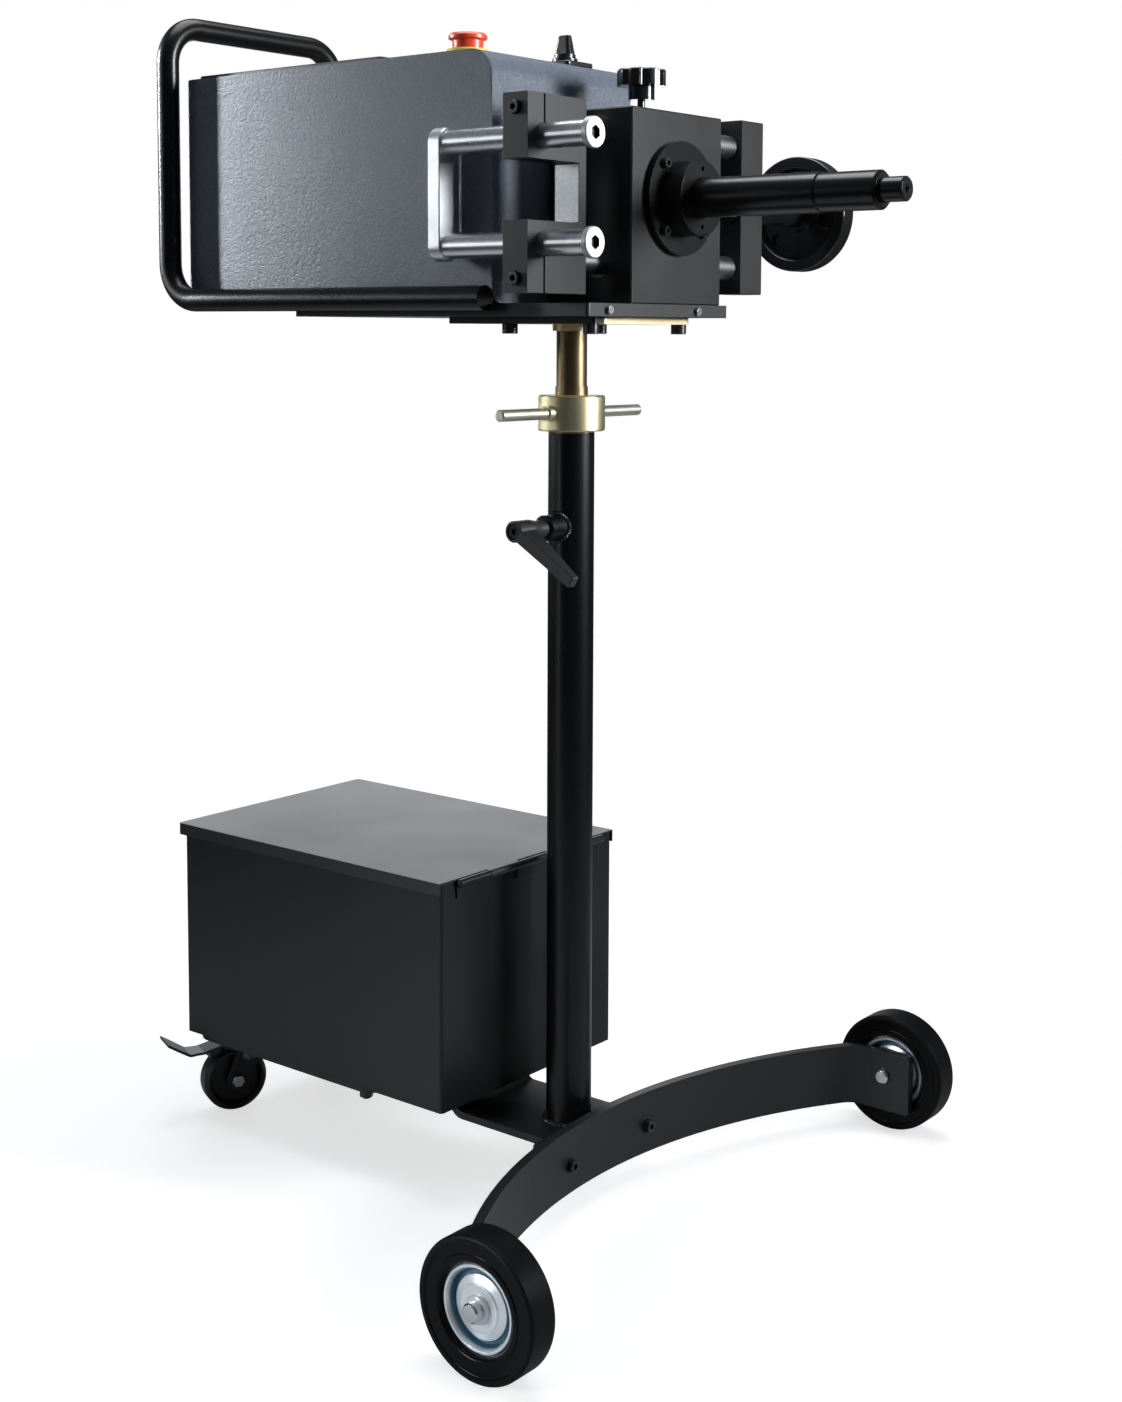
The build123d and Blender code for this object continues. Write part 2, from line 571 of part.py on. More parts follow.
bar_bolt = cap_screw(M8_D, bolt_seat_x - MOUNT_PLATE_BACK - TIP_GAP, M8_HEAD_D, M8_HEAD_HEIGHT, M8_SOCKET)
box_bolt_length = SHEET + BEAM_THICKNESS + M8_NUT_HEIGHT + BOLT_TAIL
box_bolt = hex_bolt(M8_D, box_bolt_length, M8_HEX_AF, M8_HEX_HEIGHT)
with BuildPart() as box_nut:
    with BuildSketch():
        RegularPolygon(M8_HEX_AF / 2, 6, major_radius=False)
        Circle(M8_D / 2 + RUNNING_FIT, mode=Mode.SUBTRACT)
    extrude(amount=-M8_NUT_HEIGHT)
with BuildPart() as stand_bolts:
    with Locations(*(seat.offset(-BOLT_SPOT_DEPTH) for seat in bar_bolt_seats)):
        add(bar_bolt)
    for x in BOX_BOLT_X:
        with Locations((COLUMN_X - x, 0, BOX_UNDERSIDE + SHEET)), GridLocations(1, BOX_BOLT_SPACING, 1, 2):
            add(box_bolt)
        with Locations((COLUMN_X - x, 0, PLATFORM_UNDERSIDE)), GridLocations(1, BOX_BOLT_SPACING, 1, 2):
            add(box_nut.part)
write_piece(stand_bolts, "stand_bolts")

# Column tube with the welded boss of the clamp lever

column_r = COLUMN_OD / 2
column_bore = column_r - COLUMN_WALL
with BuildPart() as column_tube:
    with BuildSketch(Plane.XY.offset(BEAM_TOP)):
        with Locations((COLUMN_X, 0)):
            Circle(column_r)
    extrude(amount=COLUMN_TOP - BEAM_TOP)
    with Locations(facing(COLUMN_X, 0, LEVER_Z, (0, -1, 0))):
        Cylinder(LEVER_BOSS_D / 2, LEVER_BOSS_REACH, align=STANDING)
    chamfer(column_tube.faces().sort_by(Axis.Y)[0].edges(), EDGE_BREAK)
    with BuildSketch(Plane.XY.offset(BEAM_TOP)):
        with Locations((COLUMN_X, 0)):
            Circle(column_bore)
    extrude(amount=COLUMN_TOP - BEAM_TOP, mode=Mode.SUBTRACT)
    with Locations(facing(COLUMN_X, 0, LEVER_Z, (0, -1, 0))):
        Cylinder(STUD_D / 2 + RUNNING_FIT, LEVER_BOSS_REACH, align=STANDING, mode=Mode.SUBTRACT)
write_piece(column_tube, "column_tube")

# Guide bush in the top of the column, with the flange that the nut turns on

with BuildPart() as column_guide_bush:
    with BuildSketch(Plane.XY.offset(COLUMN_TOP)):
        with Locations((COLUMN_X, 0)):
            Circle(column_r)
    extrude(amount=BUSH_FLANGE)
    with BuildSketch(Plane.XY.offset(COLUMN_TOP)):
        with Locations((COLUMN_X, 0)):
            Circle(column_bore)
    extrude(amount=-BUSH_LENGTH)
    with Locations((COLUMN_X, 0, COLUMN_TOP + BUSH_FLANGE)):
        Hole(POST_D / 2 + RUNNING_FIT)
write_piece(column_guide_bush, "column_guide_bush")

# Lift post: the threaded rod that carries the head, with a piston at its foot and a spigot on top

post_bottom = POST_SHOULDER - POST_LENGTH
with BuildPart() as lift_post:
    with Locations((COLUMN_X, 0, post_bottom)):
        Cylinder(POST_D / 2, POST_LENGTH, align=STANDING)
        Cylinder(column_bore - RUNNING_FIT, POST_PISTON_LENGTH, align=STANDING)
    chamfer(lift_post.edges().group_by(Axis.Z)[0], END_BREAK)
    with Locations((COLUMN_X, 0, NUT_BOTTOM + NUT_HEIGHT + SEAT_GAP)):
        Cylinder(POST_SLEEVE_D / 2, POST_SLEEVE_HEIGHT, align=STANDING)
    with Locations((COLUMN_X, 0, POST_SHOULDER)):
        Cylinder(SPIGOT_D / 2, SOCKET_HEIGHT + FLANGE_THICKNESS, align=STANDING)
    chamfer(lift_post.edges().group_by(Axis.Z)[-1], EDGE_BREAK)
write_piece(lift_post, "lift_post")

# Collar nut and its tommy bars

with BuildPart() as collar_nut:
    with Locations((COLUMN_X, 0, NUT_BOTTOM)):
        Cylinder(NUT_D / 2, NUT_HEIGHT, align=STANDING)
    chamfer(collar_nut.edges().filter_by(GeomType.CIRCLE), END_BREAK)
    nut_middle = NUT_BOTTOM + NUT_HEIGHT / 2
    for side in SIDES.values():
        with Locations(facing(COLUMN_X, 0, nut_middle, (0, side, 0))):
            Cylinder(TOMMY_BOSS_D / 2, NUT_D / 2 + TOMMY_BOSS_LENGTH, align=STANDING)
            Cylinder(
                TOMMY_D / 2 + SEAT_GAP,
                NUT_D / 2 + TOMMY_BOSS_LENGTH,
                align=STANDING,
                mode=Mode.SUBTRACT,
            )
    with Locations((COLUMN_X, 0, NUT_BOTTOM)):
        Cylinder(POST_D / 2 + RUNNING_FIT, NUT_HEIGHT, align=STANDING, mode=Mode.SUBTRACT)
write_piece(collar_nut, "collar_nut")

tommy_root = POST_D / 2 + PASS_GAP
with BuildPart() as tommy_bars:
    for side in SIDES.values():
        with Locations(facing(COLUMN_X, side * tommy_root, nut_middle, (0, side, 0))):
            Cylinder(TOMMY_D / 2, TOMMY_REACH - tommy_root, align=STANDING)
    chamfer(tommy_bars.edges().group_by(Axis.Y)[0], END_BREAK)
    chamfer(tommy_bars.edges().group_by(Axis.Y)[-1], END_BREAK)
write_piece(tommy_bars, "tommy_bars")

# Clamp lever: a hub that narrows towards the boss, with an arm that thins towards its tip

lever_face = Plane(
    origin=(COLUMN_X, -LEVER_REACH, LEVER_Z),
    x_dir=(cos(radians(LEVER_ARM_DROP)), 0, -sin(radians(LEVER_ARM_DROP))),
    z_dir=(0, -1, 0),
)
lever_hub_length = LEVER_REACH - LEVER_BOSS_REACH - FACE_GAP
with BuildPart() as clamp_lever:
    with BuildSketch(lever_face):
        with BuildLine():
            Polyline(
                (0, LEVER_ARM_ROOT / 2),
                (LEVER_ARM_LENGTH, LEVER_ARM_TIP / 2),
                (LEVER_ARM_LENGTH, -LEVER_ARM_TIP / 2),
                (0, -LEVER_ARM_ROOT / 2),
                close=True,
            )
        arm = make_face()
        fillet(arm.vertices().sort_by(Axis(lever_face.origin, lever_face.x_dir))[-2:], LEVER_TIP_ROUND)
    extrude(amount=-LEVER_ARM_DEPTH)
    with BuildSketch(Plane(origin=lever_face.origin, x_dir=lever_face.x_dir, z_dir=lever_face.y_dir)):
        with BuildLine():
            Polyline(
                (LEVER_HUB_D / 2, LEVER_ARM_DEPTH),
                (LEVER_ARM_LENGTH, LEVER_TIP_DEPTH),
                (LEVER_ARM_LENGTH, LEVER_ARM_DEPTH),
                close=True,
            )
        make_face()
    extrude(amount=LEVER_HUB_D, both=True, mode=Mode.SUBTRACT)
    with BuildSketch(lever_face):
        Circle(LEVER_HUB_D / 2)
    extrude(amount=-LEVER_ARM_DEPTH)
    with BuildSketch(lever_face.offset(-lever_hub_length)):
        Circle(LEVER_HUB_NECK_D / 2)
    extrude(amount=lever_hub_length)
    with BuildSketch(lever_face.offset(-LEVER_ARM_DEPTH)):
        Circle(LEVER_HUB_D / 2)
    with BuildSketch(lever_face.offset(-(LEVER_ARM_DEPTH + lever_hub_length) / 2)):
        Circle(LEVER_HUB_NECK_D / 2)
    loft()
    chamfer(clamp_lever.faces().sort_by(Axis.Y)[0].edges(), EDGE_BREAK)
    with Locations(lever_face):
        CounterBoreHole(
            STUD_D / 2 + SEAT_GAP, STUD_HEAD_D / 2 + HEAD_GAP, STUD_RECESS, depth=lever_hub_length
        )
write_piece(clamp_lever, "clamp_lever")

stud_seat = LEVER_REACH - STUD_RECESS
stud = cap_screw(STUD_D, stud_seat - POST_D / 2 - FACE_GAP, STUD_HEAD_D, STUD_HEAD_HEIGHT, STUD_SOCKET)
with BuildPart() as clamp_stud:
    with Locations(facing(COLUMN_X, -stud_seat, LEVER_Z, (0, -1, 0))):
        add(stud)
write_piece(clamp_stud, "clamp_stud")

# Front axles: a round head inside each tab, a shoulder between tab and wheel, a domed end cap

wheel_inner = WHEEL_TRACK / 2 - RIM_HUB_WIDTH / 2
wheel_outer = WHEEL_TRACK / 2 + RIM_HUB_WIDTH / 2
axle_head_y = TAB_INNER - AXLE_HEAD_HEIGHT
with BuildPart() as front_axles:
    for side in SIDES.values():
        inside = facing(COLUMN_X + WHEEL_REACH, side * TAB_INNER, AXLE_Z, (0, side, 0))
        with BuildSketch(inside):
            Circle(AXLE_HEAD_D / 2)
        extrude(amount=-AXLE_HEAD_HEIGHT)
        with BuildSketch(inside):
            Circle(AXLE_D / 2)
        extrude(amount=wheel_outer + FACE_GAP + AXLE_CAP_HEIGHT / 2 - TAB_INNER)
        with BuildSketch(inside.offset(TAB_OUTER - TAB_INNER)):
            Circle(AXLE_SHOULDER_D / 2)
        extrude(amount=wheel_inner - FACE_GAP - TAB_OUTER)
        with BuildSketch(inside.offset(wheel_outer + FACE_GAP - TAB_INNER)):
            Circle(AXLE_CAP_D / 2)
        extrude(amount=AXLE_CAP_HEIGHT)
    axle_ends = front_axles.edges().filter_by(GeomType.CIRCLE)
    for end in (0, -1):
        chamfer(axle_ends.group_by(Axis.Y)[end], END_BREAK)
    head_rims = axle_ends.filter_by(lambda rim: abs(abs(rim.arc_center.Y) - axle_head_y) < SEAT_GAP)
    chamfer(head_rims, END_BREAK)
write_piece(front_axles, "front_axles")

# Front wheels: a moulded tyre on a pressed rim

rim_r = TYRE_BORE_D / 2 - SEAT_GAP
hub_face = RIM_HUB_WIDTH / 2
lip_face = hub_face - RIM_LIP_DEPTH
for name, side in SIDES.items():
    section = Plane(
        origin=(COLUMN_X + WHEEL_REACH, side * WHEEL_TRACK / 2, AXLE_Z),
        x_dir=(0, side, 0),
        z_dir=(side, 0, 0),
    )
    axle_line = Axis(section.origin, (0, 1, 0))

    with BuildPart() as tyre:
        with BuildSketch(section):
            with Locations((0, (WHEEL_D + TYRE_BORE_D) / 4)):
                tyre_body = Rectangle(WHEEL_WIDTH, (WHEEL_D - TYRE_BORE_D) / 2)
            fillet(tyre_body.vertices().group_by(Axis.Z)[-1], TYRE_SHOULDER)
            fillet(tyre_body.vertices().group_by(Axis.Z)[0], TYRE_BEAD)
            for wall in (-1, 1):
                with Locations((wall * WHEEL_WIDTH / 2, (WHEEL_D + TYRE_BORE_D) / 4)):
                    SlotOverall(TYRE_RECESS_WIDTH, 2 * TYRE_RECESS_DEPTH, rotation=90, mode=Mode.SUBTRACT)
        revolve(axis=axle_line)
    write_piece(tyre, f"{name}_front_tyre")

    with BuildPart() as rim:
        with BuildSketch(section):
            with BuildLine():
                Polyline(
                    (0, AXLE_D / 2 + RUNNING_FIT),
                    (hub_face, AXLE_D / 2 + RUNNING_FIT),
                    (hub_face, RIM_HUB_D / 2 - EDGE_BREAK),
                    (hub_face - EDGE_BREAK, RIM_HUB_D / 2),
                    (hub_face - RIM_COLLAR, RIM_HUB_D / 2),
                    (hub_face - RIM_COLLAR, RIM_STEP_D / 2),
                    (hub_face - RIM_COLLAR - EDGE_BREAK, RIM_STEP_D / 2 + EDGE_BREAK),
                    (hub_face - RIM_DISH_DEPTH, RIM_DISH_D / 2),
                    (RIM_WEB / 2, RIM_DISH_D / 2 + EDGE_BREAK),
                    (RIM_WEB / 2, RIM_GROOVE_D / 2),
                    (lip_face - RIM_LIP_ROUND, RIM_GROOVE_D / 2 + RIM_BEVEL),
                    (lip_face, RIM_GROOVE_D / 2 + 2 * RIM_BEVEL),
                    (lip_face, RIM_LIP_D / 2 - EDGE_BREAK),
                    (lip_face - RIM_LIP_ROUND, rim_r - RIM_BEVEL),
                    (lip_face - RIM_LIP_ROUND - EDGE_BREAK, rim_r),
                    (0, rim_r),
                    close=True,
                )
            make_face()
            mirror(about=Plane.YZ)
        revolve(axis=axle_line)
    write_piece(rim, f"{name}_front_rim")

# Casters: a fixed top plate, a swivelling fork, a braked wheel

plate_underside = PLATFORM_UNDERSIDE - CASTER_PLATE_THICKNESS
with BuildPart() as caster_top_plates:
    with BuildSketch(Plane.XY.offset(plate_underside)):
        with Locations((COLUMN_X - CASTER_BACK, 0)), GridLocations(1, CASTER_SPACING, 1, 2):
            RectangleRounded(CASTER_PLATE, CASTER_PLATE, CASTER_PLATE_CORNER)
            Circle(KINGPIN_D / 2 + RUNNING_FIT, mode=Mode.SUBTRACT)
    extrude(amount=CASTER_PLATE_THICKNESS)
write_piece(caster_top_plates, "caster_top_plates")

caster_axle_z = CASTER_WHEEL_D / 2
fork_top = plate_underside - FACE_GAP
fork_crown = fork_top - CASTER_HEAD_HEIGHT
hub_half = CASTER_WHEEL_WIDTH / 2 + CASTER_SIDE_PLAY - FACE_GAP
leg_inside = CASTER_WHEEL_WIDTH / 2 + CASTER_SIDE_PLAY
leg_outside = leg_inside + CASTER_LEG_THICKNESS
pedal_neck = 2 * (leg_inside - FACE_GAP)
# The axle as the pedal meets it once pressed: its place turned back about the pedal's pivot.
axle_from_pivot = (PEDAL_PIVOT_BACK - CASTER_TRAIL, caster_axle_z - PEDAL_PIVOT_Z)
pressed_axle = (
    axle_from_pivot[0] * cos(PEDAL_PRESS) + axle_from_pivot[1] * sin(PEDAL_PRESS) - PEDAL_PIVOT_BACK,
    axle_from_pivot[1] * cos(PEDAL_PRESS) - axle_from_pivot[0] * sin(PEDAL_PRESS) + PEDAL_PIVOT_Z,
)
axle_spot = (-CASTER_TRAIL, caster_axle_z)
pivot_spot = (-PEDAL_PIVOT_BACK, PEDAL_PIVOT_Z)
pedal_dip_z = PEDAL_PIVOT_Z - PEDAL_DIP
for name, side in SIDES.items():
    # Each caster is drawn on its middle plane, forwards and up from the foot of its kingpin.
    turn = -side * CASTER_TURN
    middle = Plane(
        origin=(COLUMN_X - CASTER_BACK, side * CASTER_SPACING / 2, 0),
        x_dir=(cos(turn), sin(turn), 0),
        z_dir=(sin(turn), -cos(turn), 0),
    )
    outwards = middle.z_dir * -side
    axle_point = middle.from_local_coords((*axle_spot, 0))

    with BuildPart() as caster_fork:
        with BuildSketch(middle):
            with Locations(axle_spot):
                Circle(CASTER_BOSS_D / 2)
            with Locations((0, fork_crown + CASTER_LEG_SEAM / 2)):
                Rectangle(CASTER_LEG_WIDTH, CASTER_LEG_SEAM)
            make_hull()
            with BuildLine():
                Polyline(
                    (-PEDAL_PIVOT_BACK, PEDAL_PIVOT_Z - PEDAL_EYE_D / 2),
                    (0, PEDAL_PIVOT_Z - CASTER_GUSSET),
                    (0, fork_crown + CASTER_LEG_SEAM),
                    (-PEDAL_PIVOT_BACK, PEDAL_PIVOT_Z + PEDAL_EYE_D / 2),
                    close=True,
                )
            make_face()
            with Locations(pivot_spot):
                Circle(PEDAL_EYE_D / 2)
        extrude(amount=leg_outside, both=True)
        with BuildSketch(middle):
            with Locations((-CASTER_TRAIL, (caster_axle_z + fork_crown) / 2)):
                Rectangle(2 * CASTER_WHEEL_D, fork_crown - caster_axle_z + 2 * CASTER_BOSS_D)
            with Locations((-PEDAL_PIVOT_BACK - CASTER_HEAD_D, fork_crown)):
                Rectangle(2 * CASTER_HEAD_D, 4 * PEDAL_EYE_D)
        extrude(amount=leg_inside, both=True, mode=Mode.SUBTRACT)
        with BuildSketch(Plane(origin=middle.from_local_coords((0, fork_crown, 0)))):
            Circle(CASTER_HEAD_D / 2)
        extrude(amount=CASTER_HEAD_HEIGHT)
        with BuildSketch(Plane(origin=middle.from_local_coords((0, fork_top, 0)))):
            Circle(KINGPIN_D / 2)
        extrude(amount=FACE_GAP + CASTER_PLATE_THICKNESS)
        with BuildSketch(middle):
            with Locations(axle_spot):
                Circle(CASTER_AXLE_D / 2 + RUNNING_FIT)
        extrude(amount=2 * leg_outside, both=True, mode=Mode.SUBTRACT)
        with BuildSketch(middle):
            with Locations(pivot_spot):
                Circle(PEDAL_PIN_D / 2)
        extrude(amount=leg_outside, both=True)
    write_piece(caster_fork, f"{name}_caster_fork")

    axle_end = leg_outside + SEAT_GAP
    caster_bolt = hex_bolt(CASTER_AXLE_D, 2 * axle_end, M8_HEX_AF, M8_HEX_HEIGHT)
    with BuildPart() as caster_axle:
        with Locations(Plane(origin=axle_point + outwards * axle_end, z_dir=outwards)):
            add(caster_bolt)
        with BuildSketch(Plane(origin=axle_point - outwards * axle_end, z_dir=-outwards)):
            RegularPolygon(M8_HEX_AF / 2, 6, major_radius=False)
        extrude(amount=M8_NUT_HEIGHT)
    write_piece(caster_axle, f"{name}_caster_axle")

    caster_section = Plane(origin=axle_point, x_dir=-middle.z_dir, z_dir=middle.x_dir)
    with BuildPart() as caster_wheel:
        with BuildSketch(caster_section):
            with BuildLine():
                Polyline(
                    (0, CASTER_AXLE_D / 2 + RUNNING_FIT),
                    (hub_half, CASTER_AXLE_D / 2 + RUNNING_FIT),
                    (hub_half, CASTER_AXLE_D / 2 + CASTER_HUB_WALL),
                    (CASTER_WEB_WIDTH / 2, CASTER_AXLE_D / 2 + CASTER_HUB_WALL + CASTER_FILLET),
                    (CASTER_WEB_WIDTH / 2, CASTER_WHEEL_D / 2 - CASTER_TREAD_DEPTH),
                    (CASTER_WHEEL_WIDTH / 2, CASTER_WHEEL_D / 2 - CASTER_TREAD_DEPTH + CASTER_FILLET),
                    (CASTER_WHEEL_WIDTH / 2, CASTER_WHEEL_D / 2 - CASTER_TREAD_ROUND),
                    (CASTER_WHEEL_WIDTH / 2 - CASTER_TREAD_ROUND, CASTER_WHEEL_D / 2),
                    (0, CASTER_WHEEL_D / 2),
                    close=True,
                )
            make_face()
            mirror(about=Plane.YZ)
        revolve(axis=Axis(axle_point, middle.z_dir))
    write_piece(caster_wheel, f"{name}_caster_wheel")

    # The pedal dips behind the wheel, rises and widens to its tip; the shoe fits the tread once pressed.
    with BuildPart() as caster_pedal:
        with BuildSketch(middle):
            with BuildLine():
                FilletPolyline(
                    pivot_spot,
                    (-PEDAL_REACH * PEDAL_DIP_START, pedal_dip_z),
                    (-PEDAL_REACH * PEDAL_DIP_END, pedal_dip_z),
                    (-PEDAL_REACH - PEDAL_THICKNESS, PEDAL_PIVOT_Z + PEDAL_RISE),
                    radius=PEDAL_BEND,
                )
            trace(line_width=PEDAL_THICKNESS)
            with Locations(pivot_spot):
                Circle(PEDAL_EYE_D / 2)
            with Locations((-PEDAL_PIVOT_BACK - SHOE_BACK, PEDAL_PIVOT_Z - PEDAL_DIP / 2)):
                Rectangle(SHOE_LENGTH, 2 * SHOE_LENGTH, align=(Align.MAX, Align.MAX))
            with Locations(pressed_axle):
                Circle(CASTER_WHEEL_D / 2 + SHOE_GAP, mode=Mode.SUBTRACT)
            with Locations((-PEDAL_REACH, PEDAL_PIVOT_Z)):
                Rectangle(PEDAL_REACH, PEDAL_REACH, align=(Align.MAX, Align.CENTER), mode=Mode.SUBTRACT)
        extrude(amount=PEDAL_WIDTH / 2, both=True)
        with BuildSketch(Plane(origin=middle.from_local_coords((0, 0, 0)), x_dir=middle.x_dir)):
            with BuildLine():
                Polyline(
                    (0, pedal_neck / 2),
                    (-PEDAL_REACH * PEDAL_NECK_END, pedal_neck / 2),
                    (-PEDAL_REACH * PEDAL_FLARE_END, PEDAL_WIDTH / 2),
                    (-PEDAL_REACH, PEDAL_WIDTH / 2),
                    (-PEDAL_REACH, -PEDAL_WIDTH / 2),
                    (-PEDAL_REACH * PEDAL_FLARE_END, -PEDAL_WIDTH / 2),
                    (-PEDAL_REACH * PEDAL_NECK_END, -pedal_neck / 2),
                    (0, -pedal_neck / 2),
                    close=True,
                )
            make_face()
        extrude(amount=2 * CASTER_WHEEL_D, mode=Mode.INTERSECT)
        with BuildSketch(middle):
            with Locations(pivot_spot):
                Circle(PEDAL_PIN_D / 2 + RUNNING_FIT)
        extrude(amount=PEDAL_WIDTH, both=True, mode=Mode.SUBTRACT)
    write_piece(caster_pedal, f"{name}_caster_pedal")

# Tool box: a folded sheet box with the fixed knuckles of the lid hinge on its front wall

box_front_x = COLUMN_X - BOX_FRONT
box_length = BOX_BACK - BOX_FRONT
box_middle_x = COLUMN_X - (BOX_FRONT + BOX_BACK) / 2
box_top = BOX_UNDERSIDE + BOX_HEIGHT
lid_top = box_top + FACE_GAP + SHEET
hinge_x = box_front_x + HINGE_D / 2 + HINGE_STAND
hinge_z = lid_top - HINGE_D / 2
knuckle_pitch = HINGE_LENGTH / HINGE_KNUCKLES
knuckle_length = knuckle_pitch - 2 * FACE_GAP
knuckle_ys = [(i - (HINGE_KNUCKLES - 1) / 2) * knuckle_pitch for i in range(HINGE_KNUCKLES)]
with BuildPart() as tool_box:
    with BuildSketch(Plane.XY.offset(BOX_UNDERSIDE)):
        with Locations((box_middle_x, 0)):
            RectangleRounded(box_length, BOX_WIDTH, BOX_CORNER)
    extrude(amount=BOX_HEIGHT)
    offset(amount=-SHEET, openings=tool_box.faces().sort_by(Axis.Z)[-1])
    for y in knuckle_ys[0::2]:
        with BuildSketch(Plane(origin=(0, y, 0), x_dir=(1, 0, 0), z_dir=(0, -1, 0))):
            with Locations((hinge_x, hinge_z)):
                Circle(HINGE_D / 2)
            with Locations((box_front_x + SHEET / 2, hinge_z - HINGE_LEAF / 2)):
                Rectangle(SHEET, HINGE_LEAF)
            with Locations((hinge_x, hinge_z)):
                Circle(HINGE_PIN_D / 2 + SEAT_GAP, mode=Mode.SUBTRACT)
        extrude(amount=knuckle_length / 2, both=True)
    with Locations(*((COLUMN_X - x, 0, BOX_UNDERSIDE + SHEET) for x in BOX_BOLT_X)):
        with GridLocations(1, BOX_BOLT_SPACING, 1, 2):
            Hole(M8_D / 2 + RUNNING_FIT, depth=SHEET)
write_piece(tool_box, "tool_box")

with BuildPart() as lid_hinge_pin:
    with Locations(facing(hinge_x, 0, hinge_z, (0, 1, 0))):
        Cylinder(HINGE_PIN_D / 2, HINGE_LENGTH)
write_piece(lid_hinge_pin, "lid_hinge_pin")

# Lid: a folded tray that hangs over the sides and the back, with the moving knuckles in front

lid_half = BOX_WIDTH / 2 + LID_SIDE_GAP + SHEET
lid_back_x = COLUMN_X - BOX_BACK - LID_BACK_GAP - SHEET
lid_middle_x = (box_front_x + lid_back_x) / 2
lid_length = box_front_x - lid_back_x
with BuildPart() as tool_box_lid:
    with Locations((lid_middle_x, 0, lid_top)):
        Box(lid_length, 2 * lid_half, LID_LIP, align=SUNK)
    fillet(tool_box_lid.edges().filter_by(Axis.Z).group_by(Axis.X)[0], BOX_CORNER)
    with BuildSketch(Plane.XY.offset(lid_top - SHEET)):
        with Locations((lid_middle_x + SHEET, 0)):
            Rectangle(lid_length, 2 * (lid_half - SHEET))
    extrude(amount=-LID_LIP, mode=Mode.SUBTRACT)
    for y in knuckle_ys[1::2]:
        with BuildSketch(Plane(origin=(0, y, 0), x_dir=(1, 0, 0), z_dir=(0, -1, 0))):
            with Locations((hinge_x, hinge_z)):
                Circle(HINGE_D / 2)
            with Locations(((box_front_x + hinge_x) / 2 - SHEET, lid_top - SHEET / 2)):
                Rectangle(hinge_x - box_front_x + 2 * SHEET, SHEET)
            with Locations((hinge_x, hinge_z)):
                Circle(HINGE_PIN_D / 2 + RUNNING_FIT, mode=Mode.SUBTRACT)
        extrude(amount=knuckle_length / 2, both=True)
write_piece(tool_box_lid, "tool_box_lid")

# Post flange plate: the head's swivel socket, and the retainer that frames it

flange_back = FLANGE_FRONT - FLANGE_LENGTH
with BuildPart() as post_flange_plate:
    with BuildSketch(Plane.XY.offset(FLANGE_BOTTOM)):
        with Locations((COLUMN_X + (FLANGE_FRONT + flange_back) / 2, (FLANGE_LEFT - FLANGE_RIGHT) / 2)):
            RectangleRounded(FLANGE_LENGTH, FLANGE_LEFT + FLANGE_RIGHT, FLANGE_CORNER)
    extrude(amount=FLANGE_THICKNESS)
    with Locations((COLUMN_X, 0, FLANGE_BOTTOM)):
        Cylinder(SOCKET_D / 2, SOCKET_HEIGHT, align=SUNK)
    with Locations((COLUMN_X, 0, HEAD_Z)):
        Hole(SPIGOT_D / 2 + RUNNING_FIT, depth=FLANGE_THICKNESS + SOCKET_HEIGHT)
    with Locations(*((COLUMN_X + x, HEAD_BOLT_Y[1], HEAD_Z) for x in HEAD_BOLT_X)):
        Hole(M10_D / 2 + SEAT_GAP, depth=FLANGE_THICKNESS)
write_piece(post_flange_plate, "post_flange_plate")

with BuildPart() as flange_retainer:
    with BuildSketch(Plane.XY.offset(FLANGE_BOTTOM)):
        with Locations((COLUMN_X + (FLANGE_FRONT - RETAINER_BACK) / 2, (FLANGE_LEFT - RETAINER_RIGHT) / 2)):
            RectangleRounded(FLANGE_FRONT + RETAINER_BACK, FLANGE_LEFT + RETAINER_RIGHT, BASE_PLATE_CORNER)
        with Locations((COLUMN_X + flange_back - FACE_GAP, -FLANGE_RIGHT - FACE_GAP)):
            Rectangle(2 * FLANGE_LENGTH, 2 * FLANGE_LENGTH, align=(Align.MIN, Align.MIN), mode=Mode.SUBTRACT)
    extrude(amount=FLANGE_THICKNESS)
    with Locations(*((COLUMN_X + x, HEAD_BOLT_Y[0], HEAD_Z) for x in HEAD_BOLT_X)):
        Hole(M10_D / 2 + SEAT_GAP, depth=FLANGE_THICKNESS)
write_piece(flange_retainer, "flange_retainer")

# Base plate of the head, and the two screws in its front edge

base_plate_length = BASE_PLATE_FRONT + BASE_PLATE_BACK
with BuildPart() as base_plate:
    with BuildSketch(Plane.XY.offset(HEAD_Z)):
        with Locations((COLUMN_X + (BASE_PLATE_FRONT - BASE_PLATE_BACK) / 2, 0)):
            RectangleRounded(base_plate_length, BASE_PLATE_WIDTH, BASE_PLATE_CORNER)
    extrude(amount=BASE_PLATE_THICKNESS)
    with Locations(*(facing(COLUMN_X + x, y, HEAD_Z, (0, 0, -1)) for x in HEAD_BOLT_X for y in HEAD_BOLT_Y)):
        Hole(M10_D / 2 + SEAT_GAP, depth=HEAD_BOLT_DEPTH + TIP_GAP)
    edge_screw_z = HEAD_Z + BASE_PLATE_THICKNESS / 2
    with Locations(*(facing(COLUMN_X + BASE_PLATE_FRONT, y, edge_screw_z, (1, 0, 0)) for y in EDGE_SCREW_Y)):
        Hole(M5_D / 2 + SEAT_GAP, depth=EDGE_SCREW_DEPTH + TIP_GAP)
write_piece(base_plate, "base_plate")

